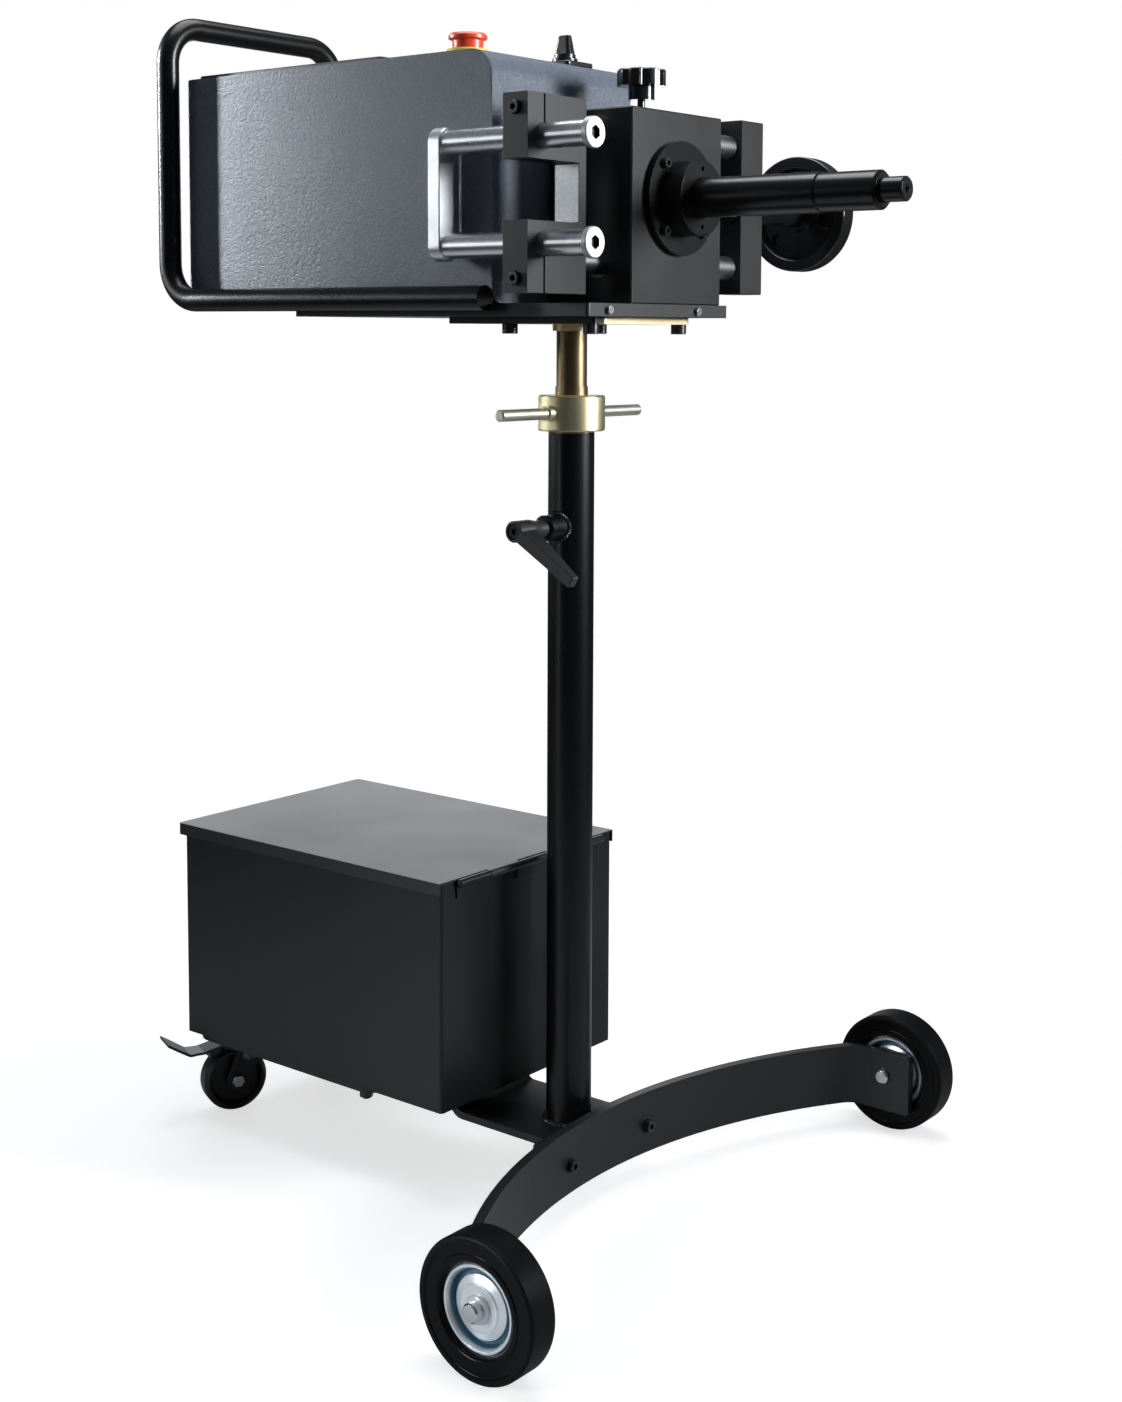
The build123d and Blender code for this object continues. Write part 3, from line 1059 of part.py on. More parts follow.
edge_screw = hex_bolt(M5_D, EDGE_SCREW_DEPTH, M5_HEX_AF, M5_HEX_HEIGHT)
with BuildPart() as base_plate_screws:
    with Locations(*(facing(COLUMN_X + BASE_PLATE_FRONT, y, edge_screw_z, (1, 0, 0)) for y in EDGE_SCREW_Y)):
        add(edge_screw)
write_piece(base_plate_screws, "base_plate_screws")

# Gearbox housing: a block with a gear chamber at the back, the spindle bore and the guide rod bores

gearbox_middle_x = COLUMN_X + GEARBOX_LENGTH / 2
gearbox_middle_z = BASE_PLATE_TOP + GEARBOX_HEIGHT / 2
rod_zs = (SPINDLE_Z - ROD_SPACING / 2, SPINDLE_Z + ROD_SPACING / 2)
rod_x = COLUMN_X + ROD_X
knob_y = SPINDLE_Y - KNOB_OFFSET
with BuildPart() as gearbox_housing:
    with Locations((gearbox_middle_x, GEARBOX_Y, gearbox_middle_z)):
        Box(GEARBOX_LENGTH, GEARBOX_WIDTH, GEARBOX_HEIGHT)
    chamfer(gearbox_housing.faces().sort_by(Axis.X)[-1].edges(), GEARBOX_CHAMFER)
    chamfer(gearbox_housing.faces().sort_by(Axis.Z)[-1].edges().filter_by(Axis.X), GEARBOX_CHAMFER)
    with BuildSketch(Plane.YZ.offset(COLUMN_X)):
        with Locations((GEARBOX_Y, gearbox_middle_z)):
            RectangleRounded(
                GEARBOX_WIDTH - 2 * GEARBOX_WALL, GEARBOX_HEIGHT - 2 * GEARBOX_WALL, GEAR_CHAMBER_CORNER
            )
    extrude(amount=GEAR_CHAMBER, mode=Mode.SUBTRACT)
    with Locations(facing(COLUMN_X + GEARBOX_LENGTH, SPINDLE_Y, SPINDLE_Z, (1, 0, 0))):
        Hole(BEARING_OD / 2 + SEAT_GAP, depth=GEARBOX_LENGTH - GEAR_CHAMBER)
        with PolarLocations(FLANGE_SCREW_PCD / 2, FLANGE_SCREWS, start_angle=FLANGE_SCREW_TURN):
            Hole(M6_D / 2 + SEAT_GAP, depth=FLANGE_SCREW_DEPTH + TIP_GAP)
    with Locations(*(facing(rod_x, GEARBOX_LEFT, z, (0, 1, 0)) for z in rod_zs)):
        Hole(ROD_BUSH_OD / 2 + SEAT_GAP, depth=GEARBOX_WIDTH)
    with Locations(facing(rod_x, GEARBOX_LEFT, SPINDLE_Z, (0, 1, 0))):
        Hole(FEED_SCREW_D / 2 + SEAT_GAP, depth=FEED_SCREW_SEAT)
    with Locations((rod_x, knob_y, GEARBOX_TOP)):
        Hole(KNOB_STUD_D / 2 + RUNNING_FIT, depth=GEARBOX_TOP - rod_zs[1])
write_piece(gearbox_housing, "gearbox_housing")

with BuildPart() as gearbox_rear_plate:
    with Locations((COLUMN_X - REAR_PLATE_THICKNESS / 2, GEARBOX_Y, gearbox_middle_z)):
        Box(REAR_PLATE_THICKNESS, GEARBOX_WIDTH - 2 * REAR_PLATE_INSET, GEARBOX_HEIGHT)
    with Locations(facing(COLUMN_X, PINION_Y, PINION_Z, (1, 0, 0))):
        Hole(PINION_SHAFT_D / 2 + PASS_GAP, depth=REAR_PLATE_THICKNESS)
write_piece(gearbox_rear_plate, "gearbox_rear_plate")

# Guide bushes in the gearbox walls

with BuildPart() as guide_bushes:
    for z in rod_zs:
        for y, direction in ((GEARBOX_LEFT, 1), (-GEARBOX_RIGHT, -1)):
            with BuildSketch(facing(rod_x, y, z, (0, direction, 0))):
                Circle(ROD_BUSH_OD / 2)
                Circle(ROD_D / 2 + RUNNING_FIT, mode=Mode.SUBTRACT)
            extrude(amount=-ROD_BUSH_LENGTH)
write_piece(guide_bushes, "guide_bushes")

# Spindle, its bearings and the bolted flange that holds them in

front_bearing_x = COLUMN_X + GEARBOX_LENGTH - BEARING_WIDTH - BEARING_INSET
bearing_xs = (front_bearing_x, front_bearing_x - BEARING_GAP - BEARING_WIDTH)
spindle_line = Axis((COLUMN_X, SPINDLE_Y, SPINDLE_Z), (1, 0, 0))
bearing_face = Plane(origin=(0, SPINDLE_Y, SPINDLE_Z), x_dir=(1, 0, 0), z_dir=(0, -1, 0))
with BuildPart() as spindle_bearings:
    with BuildSketch(bearing_face):
        for x in bearing_xs:
            with Locations((x + BEARING_WIDTH / 2, (BEARING_OD + SPINDLE_D) / 4 + RUNNING_FIT / 2)):
                Rectangle(BEARING_WIDTH, (BEARING_OD - SPINDLE_D) / 2 - RUNNING_FIT)
            for end in (x, x + BEARING_WIDTH):
                with Locations((end, (BEARING_OD + SPINDLE_D) / 4)):
                    Rectangle(2 * BEARING_RECESS, (BEARING_OD - SPINDLE_D) / 4, mode=Mode.SUBTRACT)
    revolve(axis=spindle_line)
write_piece(spindle_bearings, "spindle_bearings")

flange_face_x = COLUMN_X + GEARBOX_LENGTH
with BuildPart() as spindle_flange:
    with BuildSketch(facing(flange_face_x, SPINDLE_Y, SPINDLE_Z, (1, 0, 0))):
        Circle(SPINDLE_FLANGE_D / 2)
    extrude(amount=SPINDLE_FLANGE_THICKNESS)
    with BuildSketch(facing(flange_face_x + SPINDLE_FLANGE_THICKNESS, SPINDLE_Y, SPINDLE_Z, (1, 0, 0))):
        Circle(SPINDLE_BOSS_D / 2)
    extrude(amount=SPINDLE_BOSS_LENGTH)
    chamfer(spindle_flange.edges().filter_by(GeomType.CIRCLE).group_by(Axis.X)[-1], EDGE_BREAK)
    boss_face = facing(
        flange_face_x + SPINDLE_FLANGE_THICKNESS + SPINDLE_BOSS_LENGTH, SPINDLE_Y, SPINDLE_Z, (1, 0, 0)
    )
    with Locations(boss_face):
        Hole(SPINDLE_D / 2 + HEAD_GAP)
        with PolarLocations((SPINDLE_BOSS_D + SPINDLE_D) / 4, BOSS_HOLES):
            Hole(BOSS_HOLE_D / 2, depth=BOSS_HOLE_DEPTH)
    with Locations(facing(flange_face_x + SPINDLE_FLANGE_THICKNESS, SPINDLE_Y, SPINDLE_Z, (1, 0, 0))):
        with PolarLocations(FLANGE_SCREW_PCD / 2, FLANGE_SCREWS, start_angle=FLANGE_SCREW_TURN):
            Hole(M6_D / 2 + SEAT_GAP, depth=SPINDLE_FLANGE_THICKNESS)
write_piece(spindle_flange, "spindle_flange")

# Cap screws of the head: four under the flange plate and its retainer, four on the spindle flange

head_bolt = cap_screw(M10_D, FLANGE_THICKNESS + HEAD_BOLT_DEPTH, M10_HEAD_D, M10_HEAD_HEIGHT, M10_SOCKET)
flange_screw = cap_screw(
    M6_D, SPINDLE_FLANGE_THICKNESS + FLANGE_SCREW_DEPTH, M6_HEAD_D, M6_HEAD_HEIGHT, M6_SOCKET
)
with BuildPart() as head_cap_screws:
    head_bolts = [(COLUMN_X + x, y) for x in HEAD_BOLT_X for y in HEAD_BOLT_Y]
    with Locations(*(facing(x, y, FLANGE_BOTTOM, (0, 0, -1)) for x, y in head_bolts)):
        add(head_bolt)
    with Locations(facing(flange_face_x + SPINDLE_FLANGE_THICKNESS, SPINDLE_Y, SPINDLE_Z, (1, 0, 0))):
        with PolarLocations(FLANGE_SCREW_PCD / 2, FLANGE_SCREWS, start_angle=FLANGE_SCREW_TURN):
            add(flange_screw)
write_piece(head_cap_screws, "head_cap_screws")

gear_x = COLUMN_X + (GEAR_CHAMBER - GEAR_WIDTH) / 2
spindle_tip_x = COLUMN_X + SPINDLE_FRONT
arbor_x = spindle_tip_x - NOSE_LENGTH - ARBOR_LENGTH
with BuildPart() as spindle_shaft:
    with BuildSketch(bearing_face):
        with BuildLine():
            Polyline(
                (COLUMN_X + PASS_GAP, 0),
                (COLUMN_X + PASS_GAP, GEAR_SEAT_D / 2),
                (gear_x + GEAR_WIDTH + SEAT_GAP, GEAR_SEAT_D / 2),
                (gear_x + GEAR_WIDTH + SEAT_GAP, SPINDLE_D / 2),
                (arbor_x - END_BREAK, SPINDLE_D / 2),
                (arbor_x, SPINDLE_D / 2 - END_BREAK),
                (arbor_x + END_BREAK, ARBOR_D / 2),
                (spindle_tip_x - NOSE_LENGTH - ARBOR_CHAMFER, ARBOR_D / 2),
                (spindle_tip_x - NOSE_LENGTH, ARBOR_D / 2 - ARBOR_CHAMFER),
                (spindle_tip_x - NOSE_LENGTH, NOSE_D / 2),
                (spindle_tip_x - END_BREAK, NOSE_D / 2),
                (spindle_tip_x, NOSE_D / 2 - END_BREAK),
                (spindle_tip_x, 0),
                close=True,
            )
        make_face()
    revolve(axis=spindle_line)
    with Locations(facing(spindle_tip_x, SPINDLE_Y, SPINDLE_Z, (1, 0, 0))):
        CounterSinkHole(CENTRE_HOLE_D / 2, CENTRE_MOUTH_D / 2, depth=CENTRE_HOLE_DEPTH)
write_piece(spindle_shaft, "spindle_shaft")

# Gear pair: the gear's first tooth points at the pinion, which has a gap there


def gear_outline(teeth, first_tooth):
    """Draw a spur gear's outline on the current sketch, turned so that a tooth lies at an angle."""
    pitch_r = GEAR_MODULE * teeth / 2
    root_r = pitch_r - DEDENDUM * GEAR_MODULE
    tip_r = pitch_r + ADDENDUM * GEAR_MODULE
    half_pitch_thickness = (pi * GEAR_MODULE / 2 - BACKLASH) / 2
    slope = tan(radians(TOOTH_FLANK))
    half_root = half_pitch_thickness + (pitch_r - root_r) * slope
    half_tip = half_pitch_thickness - (tip_r - pitch_r) * slope
    inner_r = root_r - GEAR_MODULE
    Circle(root_r)
    with PolarLocations(0, teeth, start_angle=first_tooth):
        Polygon(
            (inner_r, -half_root),
            (root_r, -half_root),
            (tip_r, -half_tip),
            (tip_r, half_tip),
            (root_r, half_root),
            (inner_r, half_root),
            align=None,
        )


to_pinion = Vector(0, PINION_Y - SPINDLE_Y, PINION_Z - SPINDLE_Z)
with BuildPart() as spindle_gear:
    with BuildSketch(Plane(origin=(gear_x, SPINDLE_Y, SPINDLE_Z), x_dir=to_pinion, z_dir=(1, 0, 0))):
        gear_outline(GEAR_TEETH, 0)
        Circle(GEAR_SEAT_D / 2 + SEAT_GAP, mode=Mode.SUBTRACT)
    extrude(amount=GEAR_WIDTH)
write_piece(spindle_gear, "spindle_gear")

motor_face_x = COLUMN_X - REAR_PLATE_THICKNESS
with BuildPart() as pinion_shaft:
    with BuildSketch(Plane(origin=(gear_x, PINION_Y, PINION_Z), x_dir=-to_pinion, z_dir=(1, 0, 0))):
        gear_outline(PINION_TEETH, 180 / PINION_TEETH)
    extrude(amount=GEAR_WIDTH)
    with Locations(facing(motor_face_x - MOTOR_NOSE_LENGTH, PINION_Y, PINION_Z, (1, 0, 0))):
        Cylinder(PINION_SHAFT_D / 2, gear_x + GEAR_WIDTH - motor_face_x + MOTOR_NOSE_LENGTH, align=STANDING)
write_piece(pinion_shaft, "pinion_shaft")

# Drive motor: a geared motor whose nose is spigoted on the rear plate, on a foot from the base plate

motor_line = Axis((motor_face_x, PINION_Y, PINION_Z), (1, 0, 0))
motor_section = Plane(origin=(0, PINION_Y, PINION_Z), x_dir=(1, 0, 0), z_dir=(0, -1, 0))
gearhead_x = motor_face_x - MOTOR_NOSE_LENGTH
motor_x = gearhead_x - GEARHEAD_LENGTH
motor_back_x = motor_x - MOTOR_LENGTH
with BuildPart() as drive_motor:
    with BuildSketch(motor_section):
        with BuildLine():
            Polyline(
                (motor_face_x, PINION_SHAFT_D / 2 + RUNNING_FIT),
                (motor_face_x, MOTOR_NOSE_D / 2),
                (gearhead_x, MOTOR_NOSE_D / 2),
                (gearhead_x, GEARHEAD_D / 2),
                (motor_x, GEARHEAD_D / 2),
                (motor_x, MOTOR_D / 2 - MOTOR_CHAMFER),
                (motor_x - MOTOR_CHAMFER, MOTOR_D / 2),
                (motor_back_x + MOTOR_COWL, MOTOR_D / 2),
                (motor_back_x, MOTOR_D / 2 - MOTOR_COWL),
                (motor_back_x, 0),
                (gearhead_x - FACE_GAP, 0),
                (gearhead_x - FACE_GAP, PINION_SHAFT_D / 2 + RUNNING_FIT),
                close=True,
            )
        make_face()
    revolve(axis=motor_line)
    with Locations((motor_x - MOTOR_LENGTH / 2, PINION_Y, BASE_PLATE_TOP)):
        Box(
            MOTOR_LENGTH / 2,
            MOTOR_D / 2,
            PINION_Z - BASE_PLATE_TOP - MOTOR_D / 2 + MOTOR_FOOT_SEAM,
            align=STANDING,
        )
write_piece(drive_motor, "drive_motor")

# Cover: a thin shell over the drive, open below where the base plate closes it

cover_back_x = COVER_FRONT_X - COVER_LENGTH
cover_opening_back = COLUMN_X - BASE_PLATE_BACK + COVER_LEDGE
with BuildPart() as cover_shell:
    with BuildSketch(Plane.XZ):
        with BuildLine():
            Polyline(
                (COVER_FRONT_X, BASE_PLATE_TOP),
                (COVER_FRONT_X, COVER_TOP),
                (cover_back_x, COVER_TOP),
                (cover_back_x, BASE_PLATE_TOP),
                close=True,
            )
        make_face()
    extrude(amount=COVER_WIDTH / 2, both=True)
    fillet(cover_shell.edges().filter_by(Axis.Y).group_by(Axis.X)[-1].sort_by(Axis.Z)[-1], COVER_CORNER)
    fillet(cover_shell.edges().filter_by(Axis.Z).group_by(Axis.X)[0], COVER_CORNER)
    fillet(cover_shell.faces().sort_by(Axis.Z)[0].edges().group_by(Axis.X)[0], COVER_CORNER / 2)
    offset(amount=-COVER_WALL, mode=Mode.SUBTRACT)
    with BuildSketch(Plane.XY.offset(BASE_PLATE_TOP)):
        with Locations(((COVER_FRONT_X - COVER_WALL + cover_opening_back) / 2, 0)):
            Rectangle(COVER_FRONT_X - COVER_WALL - cover_opening_back, COVER_WIDTH - 2 * COVER_WALL)
    extrude(amount=COVER_WALL, mode=Mode.SUBTRACT)
    with Locations(facing(COVER_FRONT_X, PINION_Y, PINION_Z, (1, 0, 0))):
        Hole(MOTOR_NOSE_D / 2 + SEAT_GAP, depth=COVER_WALL)
    with Locations((COLUMN_X + ESTOP_X, ESTOP_Y, COVER_TOP), (COLUMN_X + SWITCH_X, SWITCH_Y, COVER_TOP)):
        Hole(CONTROL_HOLE_D / 2, depth=COVER_WALL)
write_piece(cover_shell, "cover_shell")

hatch_back = COLUMN_X - cover_back_x - COVER_CORNER
with BuildPart() as top_hatch:
    with BuildSketch(Plane.XY.offset(COVER_TOP)):
        with Locations((COLUMN_X - (HATCH_FRONT + hatch_back) / 2, 0)):
            RectangleRounded(hatch_back - HATCH_FRONT, COVER_WIDTH - 2 * HATCH_MARGIN, HATCH_CORNER)
    extrude(amount=HATCH_THICKNESS)
    chamfer(top_hatch.faces().sort_by(Axis.Z)[-1].edges(), EDGE_BREAK)
write_piece(top_hatch, "top_hatch")

# Handle frame: one bent tube along both sides and over the back, its ends plugged

handle_half = HANDLE_SPACING / 2
handle_front_x = COLUMN_X - HANDLE_FRONT
handle_back_x = COLUMN_X - HANDLE_BACK
with BuildPart() as handle_frame:
    with BuildLine() as handle_run:
        FilletPolyline(
            (handle_front_x, -handle_half, HANDLE_Z),
            (handle_back_x, -handle_half, HANDLE_Z),
            (handle_back_x, -handle_half, HANDLE_TOP),
            (handle_back_x, handle_half, HANDLE_TOP),
            (handle_back_x, handle_half, HANDLE_Z),
            (handle_front_x, handle_half, HANDLE_Z),
            radius=HANDLE_BEND,
        )
    with BuildSketch(facing(handle_front_x, -handle_half, HANDLE_Z, (-1, 0, 0))):
        Circle(HANDLE_R)
        Circle(HANDLE_R - HANDLE_WALL, mode=Mode.SUBTRACT)
    sweep(path=handle_run.wires()[0])
    for side in SIDES.values():
        with BuildSketch(facing(handle_front_x, side * handle_half, HANDLE_Z, (1, 0, 0))):
            Circle(HANDLE_R)
        extrude(amount=-HANDLE_WALL)
write_piece(handle_frame, "handle_frame")

# Emergency stop: a fixed collar and a mushroom that is pushed down into it

estop_x = COLUMN_X + ESTOP_X
ring_top = COVER_TOP + ESTOP_RING_HEIGHT
with BuildPart() as estop_base:
    with Locations((estop_x, ESTOP_Y, COVER_TOP)):
        Cylinder(ESTOP_RING_D / 2, ESTOP_RING_HEIGHT, align=STANDING)
    chamfer(estop_base.edges().group_by(Axis.Z)[-1], END_BREAK)
    with Locations((estop_x, ESTOP_Y, COVER_TOP)):
        Cylinder(CONTROL_HOLE_D / 2 - SEAT_GAP, CONTROL_BARREL, align=SUNK)
    with Locations((estop_x, ESTOP_Y, ring_top)):
        Hole(ESTOP_NECK_D / 2 + RUNNING_FIT, depth=ESTOP_SINK + ESTOP_TRAVEL + FACE_GAP)
        Hole(ESTOP_STEM_D / 2 + RUNNING_FIT, depth=ESTOP_RING_HEIGHT + CONTROL_BARREL - COVER_WALL)
write_piece(estop_base, "estop_base")

estop_line = Axis((estop_x, ESTOP_Y, 0), (0, 0, 1))
button_bottom = ring_top - ESTOP_SINK
with BuildPart() as estop_button:
    with BuildSketch(Plane(origin=(estop_x, ESTOP_Y, 0), x_dir=(1, 0, 0), z_dir=(0, -1, 0))):
        with BuildLine():
            Polyline(
                (0, COVER_TOP - CONTROL_BARREL / 2),
                (ESTOP_STEM_D / 2, COVER_TOP - CONTROL_BARREL / 2),
                (ESTOP_STEM_D / 2, button_bottom),
                (ESTOP_NECK_D / 2, button_bottom),
                (ESTOP_NECK_D / 2, button_bottom + ESTOP_NECK_HEIGHT),
                (ESTOP_D / 2, button_bottom + ESTOP_NECK_HEIGHT + ESTOP_FLARE),
                (ESTOP_D / 2, button_bottom + ESTOP_HEIGHT - ESTOP_ROUND),
                (ESTOP_D / 2 - ESTOP_ROUND, button_bottom + ESTOP_HEIGHT),
                (0, button_bottom + ESTOP_HEIGHT),
                close=True,
            )
        make_face()
    revolve(axis=estop_line)
write_piece(estop_button, "estop_button")

# Rotary switch: a square base with a collar, and a tapered knob

switch_x = COLUMN_X + SWITCH_X
switch_top = COVER_TOP + SWITCH_PLATE_HEIGHT
with BuildPart() as switch_plate:
    with BuildSketch(Plane.XY.offset(COVER_TOP)):
        with Locations((switch_x, SWITCH_Y)):
            RectangleRounded(SWITCH_PLATE, SWITCH_PLATE, SWITCH_CORNER)
    extrude(amount=SWITCH_PLATE_HEIGHT / 2)
    chamfer(switch_plate.faces().sort_by(Axis.Z)[-1].edges(), EDGE_BREAK)
    with Locations((switch_x, SWITCH_Y, COVER_TOP)):
        Cylinder(SWITCH_COLLAR_D / 2, SWITCH_PLATE_HEIGHT, align=STANDING)
        Cylinder(CONTROL_HOLE_D / 2 - SEAT_GAP, CONTROL_BARREL, align=SUNK)
    with Locations((switch_x, SWITCH_Y, switch_top)):
        Hole(SWITCH_STEM_D / 2 + RUNNING_FIT, depth=SWITCH_PLATE_HEIGHT + SWITCH_STEM_DEPTH + TIP_GAP)
write_piece(switch_plate, "switch_plate")

knob_bottom = switch_top + FACE_GAP
with BuildPart() as switch_knob:
    with BuildSketch(Plane.XY.offset(knob_bottom)):
        with Locations((switch_x, SWITCH_Y)):
            Circle(SWITCH_KNOB_D / 2)
    extrude(amount=SWITCH_SKIRT)
    with BuildSketch(Plane.XY.offset(knob_bottom + SWITCH_SKIRT)):
        with Locations((switch_x, SWITCH_Y)):
            RectangleRounded(*SWITCH_GRIP_FOOT, SWITCH_CORNER)
    with BuildSketch(Plane.XY.offset(knob_bottom + SWITCH_KNOB_HEIGHT)):
        with Locations((switch_x, SWITCH_Y)):
            RectangleRounded(*SWITCH_GRIP_TOP, SWITCH_GRIP_ROUND)
    loft()
    with Locations((switch_x, SWITCH_Y, knob_bottom)):
        Cylinder(SWITCH_STEM_D / 2, SWITCH_PLATE_HEIGHT + SWITCH_STEM_DEPTH, align=SUNK)
write_piece(switch_knob, "switch_knob")

# Lock knob: a fluted knob whose stud clamps the upper guide rod

knob_z = GEARBOX_TOP + KNOB_RISE
with BuildPart() as lock_knob:
    with Locations((rod_x, knob_y, knob_z)):
        Cylinder(KNOB_HUB_D / 2, KNOB_HUB_HEIGHT, align=STANDING)
    with BuildSketch(Plane.XY.offset(knob_z + KNOB_HUB_HEIGHT)):
        with Locations((rod_x, knob_y)):
            Circle(KNOB_D / 2)
            with PolarLocations(KNOB_D / 2 + KNOB_FLUTE_OUT, KNOB_FLUTES):
                Circle(KNOB_FLUTE_R, mode=Mode.SUBTRACT)
    extrude(amount=KNOB_HEIGHT)
    chamfer(lock_knob.faces().sort_by(Axis.Z)[-1].edges(), KNOB_CHAMFER)
    rod_top = rod_zs[1] + ROD_D / 2
    with Locations((rod_x, knob_y, knob_z)):
        Cylinder(KNOB_STUD_D / 2, knob_z - rod_top - FACE_GAP, align=SUNK)
write_piece(lock_knob, "lock_knob")

# Tool block: a C-shaped block, split at both arms to clamp the tool rods

block_top = BLOCK_BOTTOM + BLOCK_HEIGHT
block_middle_z = BLOCK_BOTTOM + BLOCK_HEIGHT / 2
clamp_seat = M8_HEAD_HEIGHT / 2
clamp_hole = clamp_seat + CLAMP_SCREW_DEPTH + TIP_GAP
clamp_zs = (BLOCK_BOTTOM + CLAMP_SCREW_INSET, block_top - CLAMP_SCREW_INSET)
with BuildPart() as tool_block:
    with BuildSketch(Plane.YZ.offset(BLOCK_BACK_X)):
        with Locations((BLOCK_RIGHT, BLOCK_BOTTOM)):
            Rectangle(BLOCK_WIDTH, BLOCK_HEIGHT, align=(Align.MIN, Align.MIN))
        with Locations((BLOCK_RIGHT, SPINDLE_Z)):
            Rectangle(BLOCK_WINDOW_DEPTH, BLOCK_WINDOW, align=(Align.MIN, Align.CENTER), mode=Mode.SUBTRACT)
        for z in (TOOL_ROD_LOW, TOOL_ROD_HIGH):
            with Locations((TOOL_ROD_Y, z)):
                Circle(ROD_D / 2 + RUNNING_FIT, mode=Mode.SUBTRACT)
        with Locations((TOOL_ROD_Y, BLOCK_BOTTOM)):
            Rectangle(
                BLOCK_SLIT, TOOL_ROD_LOW - BLOCK_BOTTOM, align=(Align.CENTER, Align.MIN), mode=Mode.SUBTRACT
            )
        with Locations((TOOL_ROD_Y, block_top)):
            Rectangle(
                BLOCK_SLIT, block_top - TOOL_ROD_HIGH, align=(Align.CENTER, Align.MAX), mode=Mode.SUBTRACT
            )
    extrude(amount=BLOCK_LENGTH)
    with Locations(*(facing(rod_x, BLOCK_LEFT, z, (0, 1, 0)) for z in rod_zs)):
        Hole(ROD_D / 2 + SEAT_GAP, depth=ROD_SOCKET)
    with Locations(*(facing(rod_x, BLOCK_RIGHT, z, (0, -1, 0)) for z in clamp_zs)):
        CounterBoreHole(M8_D / 2 + SEAT_GAP, M8_HEAD_D / 2 + HEAD_GAP, clamp_seat, depth=clamp_hole)
write_piece(tool_block, "tool_block")

clamp_screw = cap_screw(M8_D, CLAMP_SCREW_DEPTH, M8_HEAD_D, M8_HEAD_HEIGHT, M8_SOCKET)
with BuildPart() as block_clamp_screws:
    with Locations(*(facing(rod_x, BLOCK_RIGHT + clamp_seat, z, (0, -1, 0)) for z in clamp_zs)):
        add(clamp_screw)
write_piece(block_clamp_screws, "block_clamp_screws")

# End block, guide rods and feed

end_block_outer = END_BLOCK_Y + END_BLOCK_WIDTH
with BuildPart() as end_block:
    with Locations((rod_x, END_BLOCK_Y, SPINDLE_Z)):
        Box(
            END_BLOCK_LENGTH, END_BLOCK_WIDTH, END_BLOCK_HEIGHT,
            align=(Align.CENTER, Align.MIN, Align.CENTER),
        )
    chamfer(end_block.edges().filter_by(Axis.Y), BLOCK_CHAMFER)
    with Locations(*(facing(rod_x, END_BLOCK_Y, z, (0, -1, 0)) for z in rod_zs)):
        Hole(ROD_D / 2 + SEAT_GAP, depth=END_BLOCK_WIDTH - END_BLOCK_WALL)
    with Locations(facing(rod_x, end_block_outer, SPINDLE_Z, (0, 1, 0))):
        Hole(FEED_SLEEVE_OD / 2 + RUNNING_FIT, depth=END_BLOCK_WIDTH)
write_piece(end_block, "end_block")

rod_start = BLOCK_LEFT - ROD_SOCKET + EDGE_BREAK
rod_end = end_block_outer - END_BLOCK_WALL - EDGE_BREAK
with BuildPart() as guide_rods:
    for z in rod_zs:
        with Locations(facing(rod_x, rod_start, z, (0, 1, 0))):
            Cylinder(ROD_D / 2, rod_end - rod_start, align=STANDING)
write_piece(guide_rods, "guide_rods")

screw_start = GEARBOX_LEFT - FEED_SCREW_SEAT + EDGE_BREAK
with BuildPart() as feed_screw:
    with Locations(facing(rod_x, screw_start, SPINDLE_Z, (0, 1, 0))):
        Cylinder(FEED_SCREW_D / 2, FEED_SCREW_END - screw_start, align=STANDING)
    chamfer(feed_screw.edges().group_by(Axis.Y)[-1], END_BREAK)
write_piece(feed_screw, "feed_screw")

sleeve_start = END_BLOCK_Y - FACE_GAP - FEED_RING_WIDTH
sleeve_end = WHEEL_HAND_Y + WHEEL_HAND_WIDTH
with BuildPart() as feed_nut_sleeve:
    with Locations(facing(rod_x, sleeve_start, SPINDLE_Z, (0, 1, 0))):
        Cylinder(FEED_SLEEVE_OD / 2, sleeve_end - sleeve_start, align=STANDING)
        Cylinder(FEED_RING_D / 2, FEED_RING_WIDTH, align=STANDING)
    with Locations(facing(rod_x, end_block_outer + FACE_GAP, SPINDLE_Z, (0, 1, 0))):
        Cylinder(FEED_COLLAR_D / 2, FEED_COLLAR_WIDTH, align=STANDING)
    with Locations(facing(rod_x, sleeve_end, SPINDLE_Z, (0, 1, 0))):
        Hole(FEED_SCREW_D / 2 + RUNNING_FIT, depth=sleeve_end - sleeve_start)
write_piece(feed_nut_sleeve, "feed_nut_sleeve")

# Handwheel: a dished wheel with finger pockets in its web

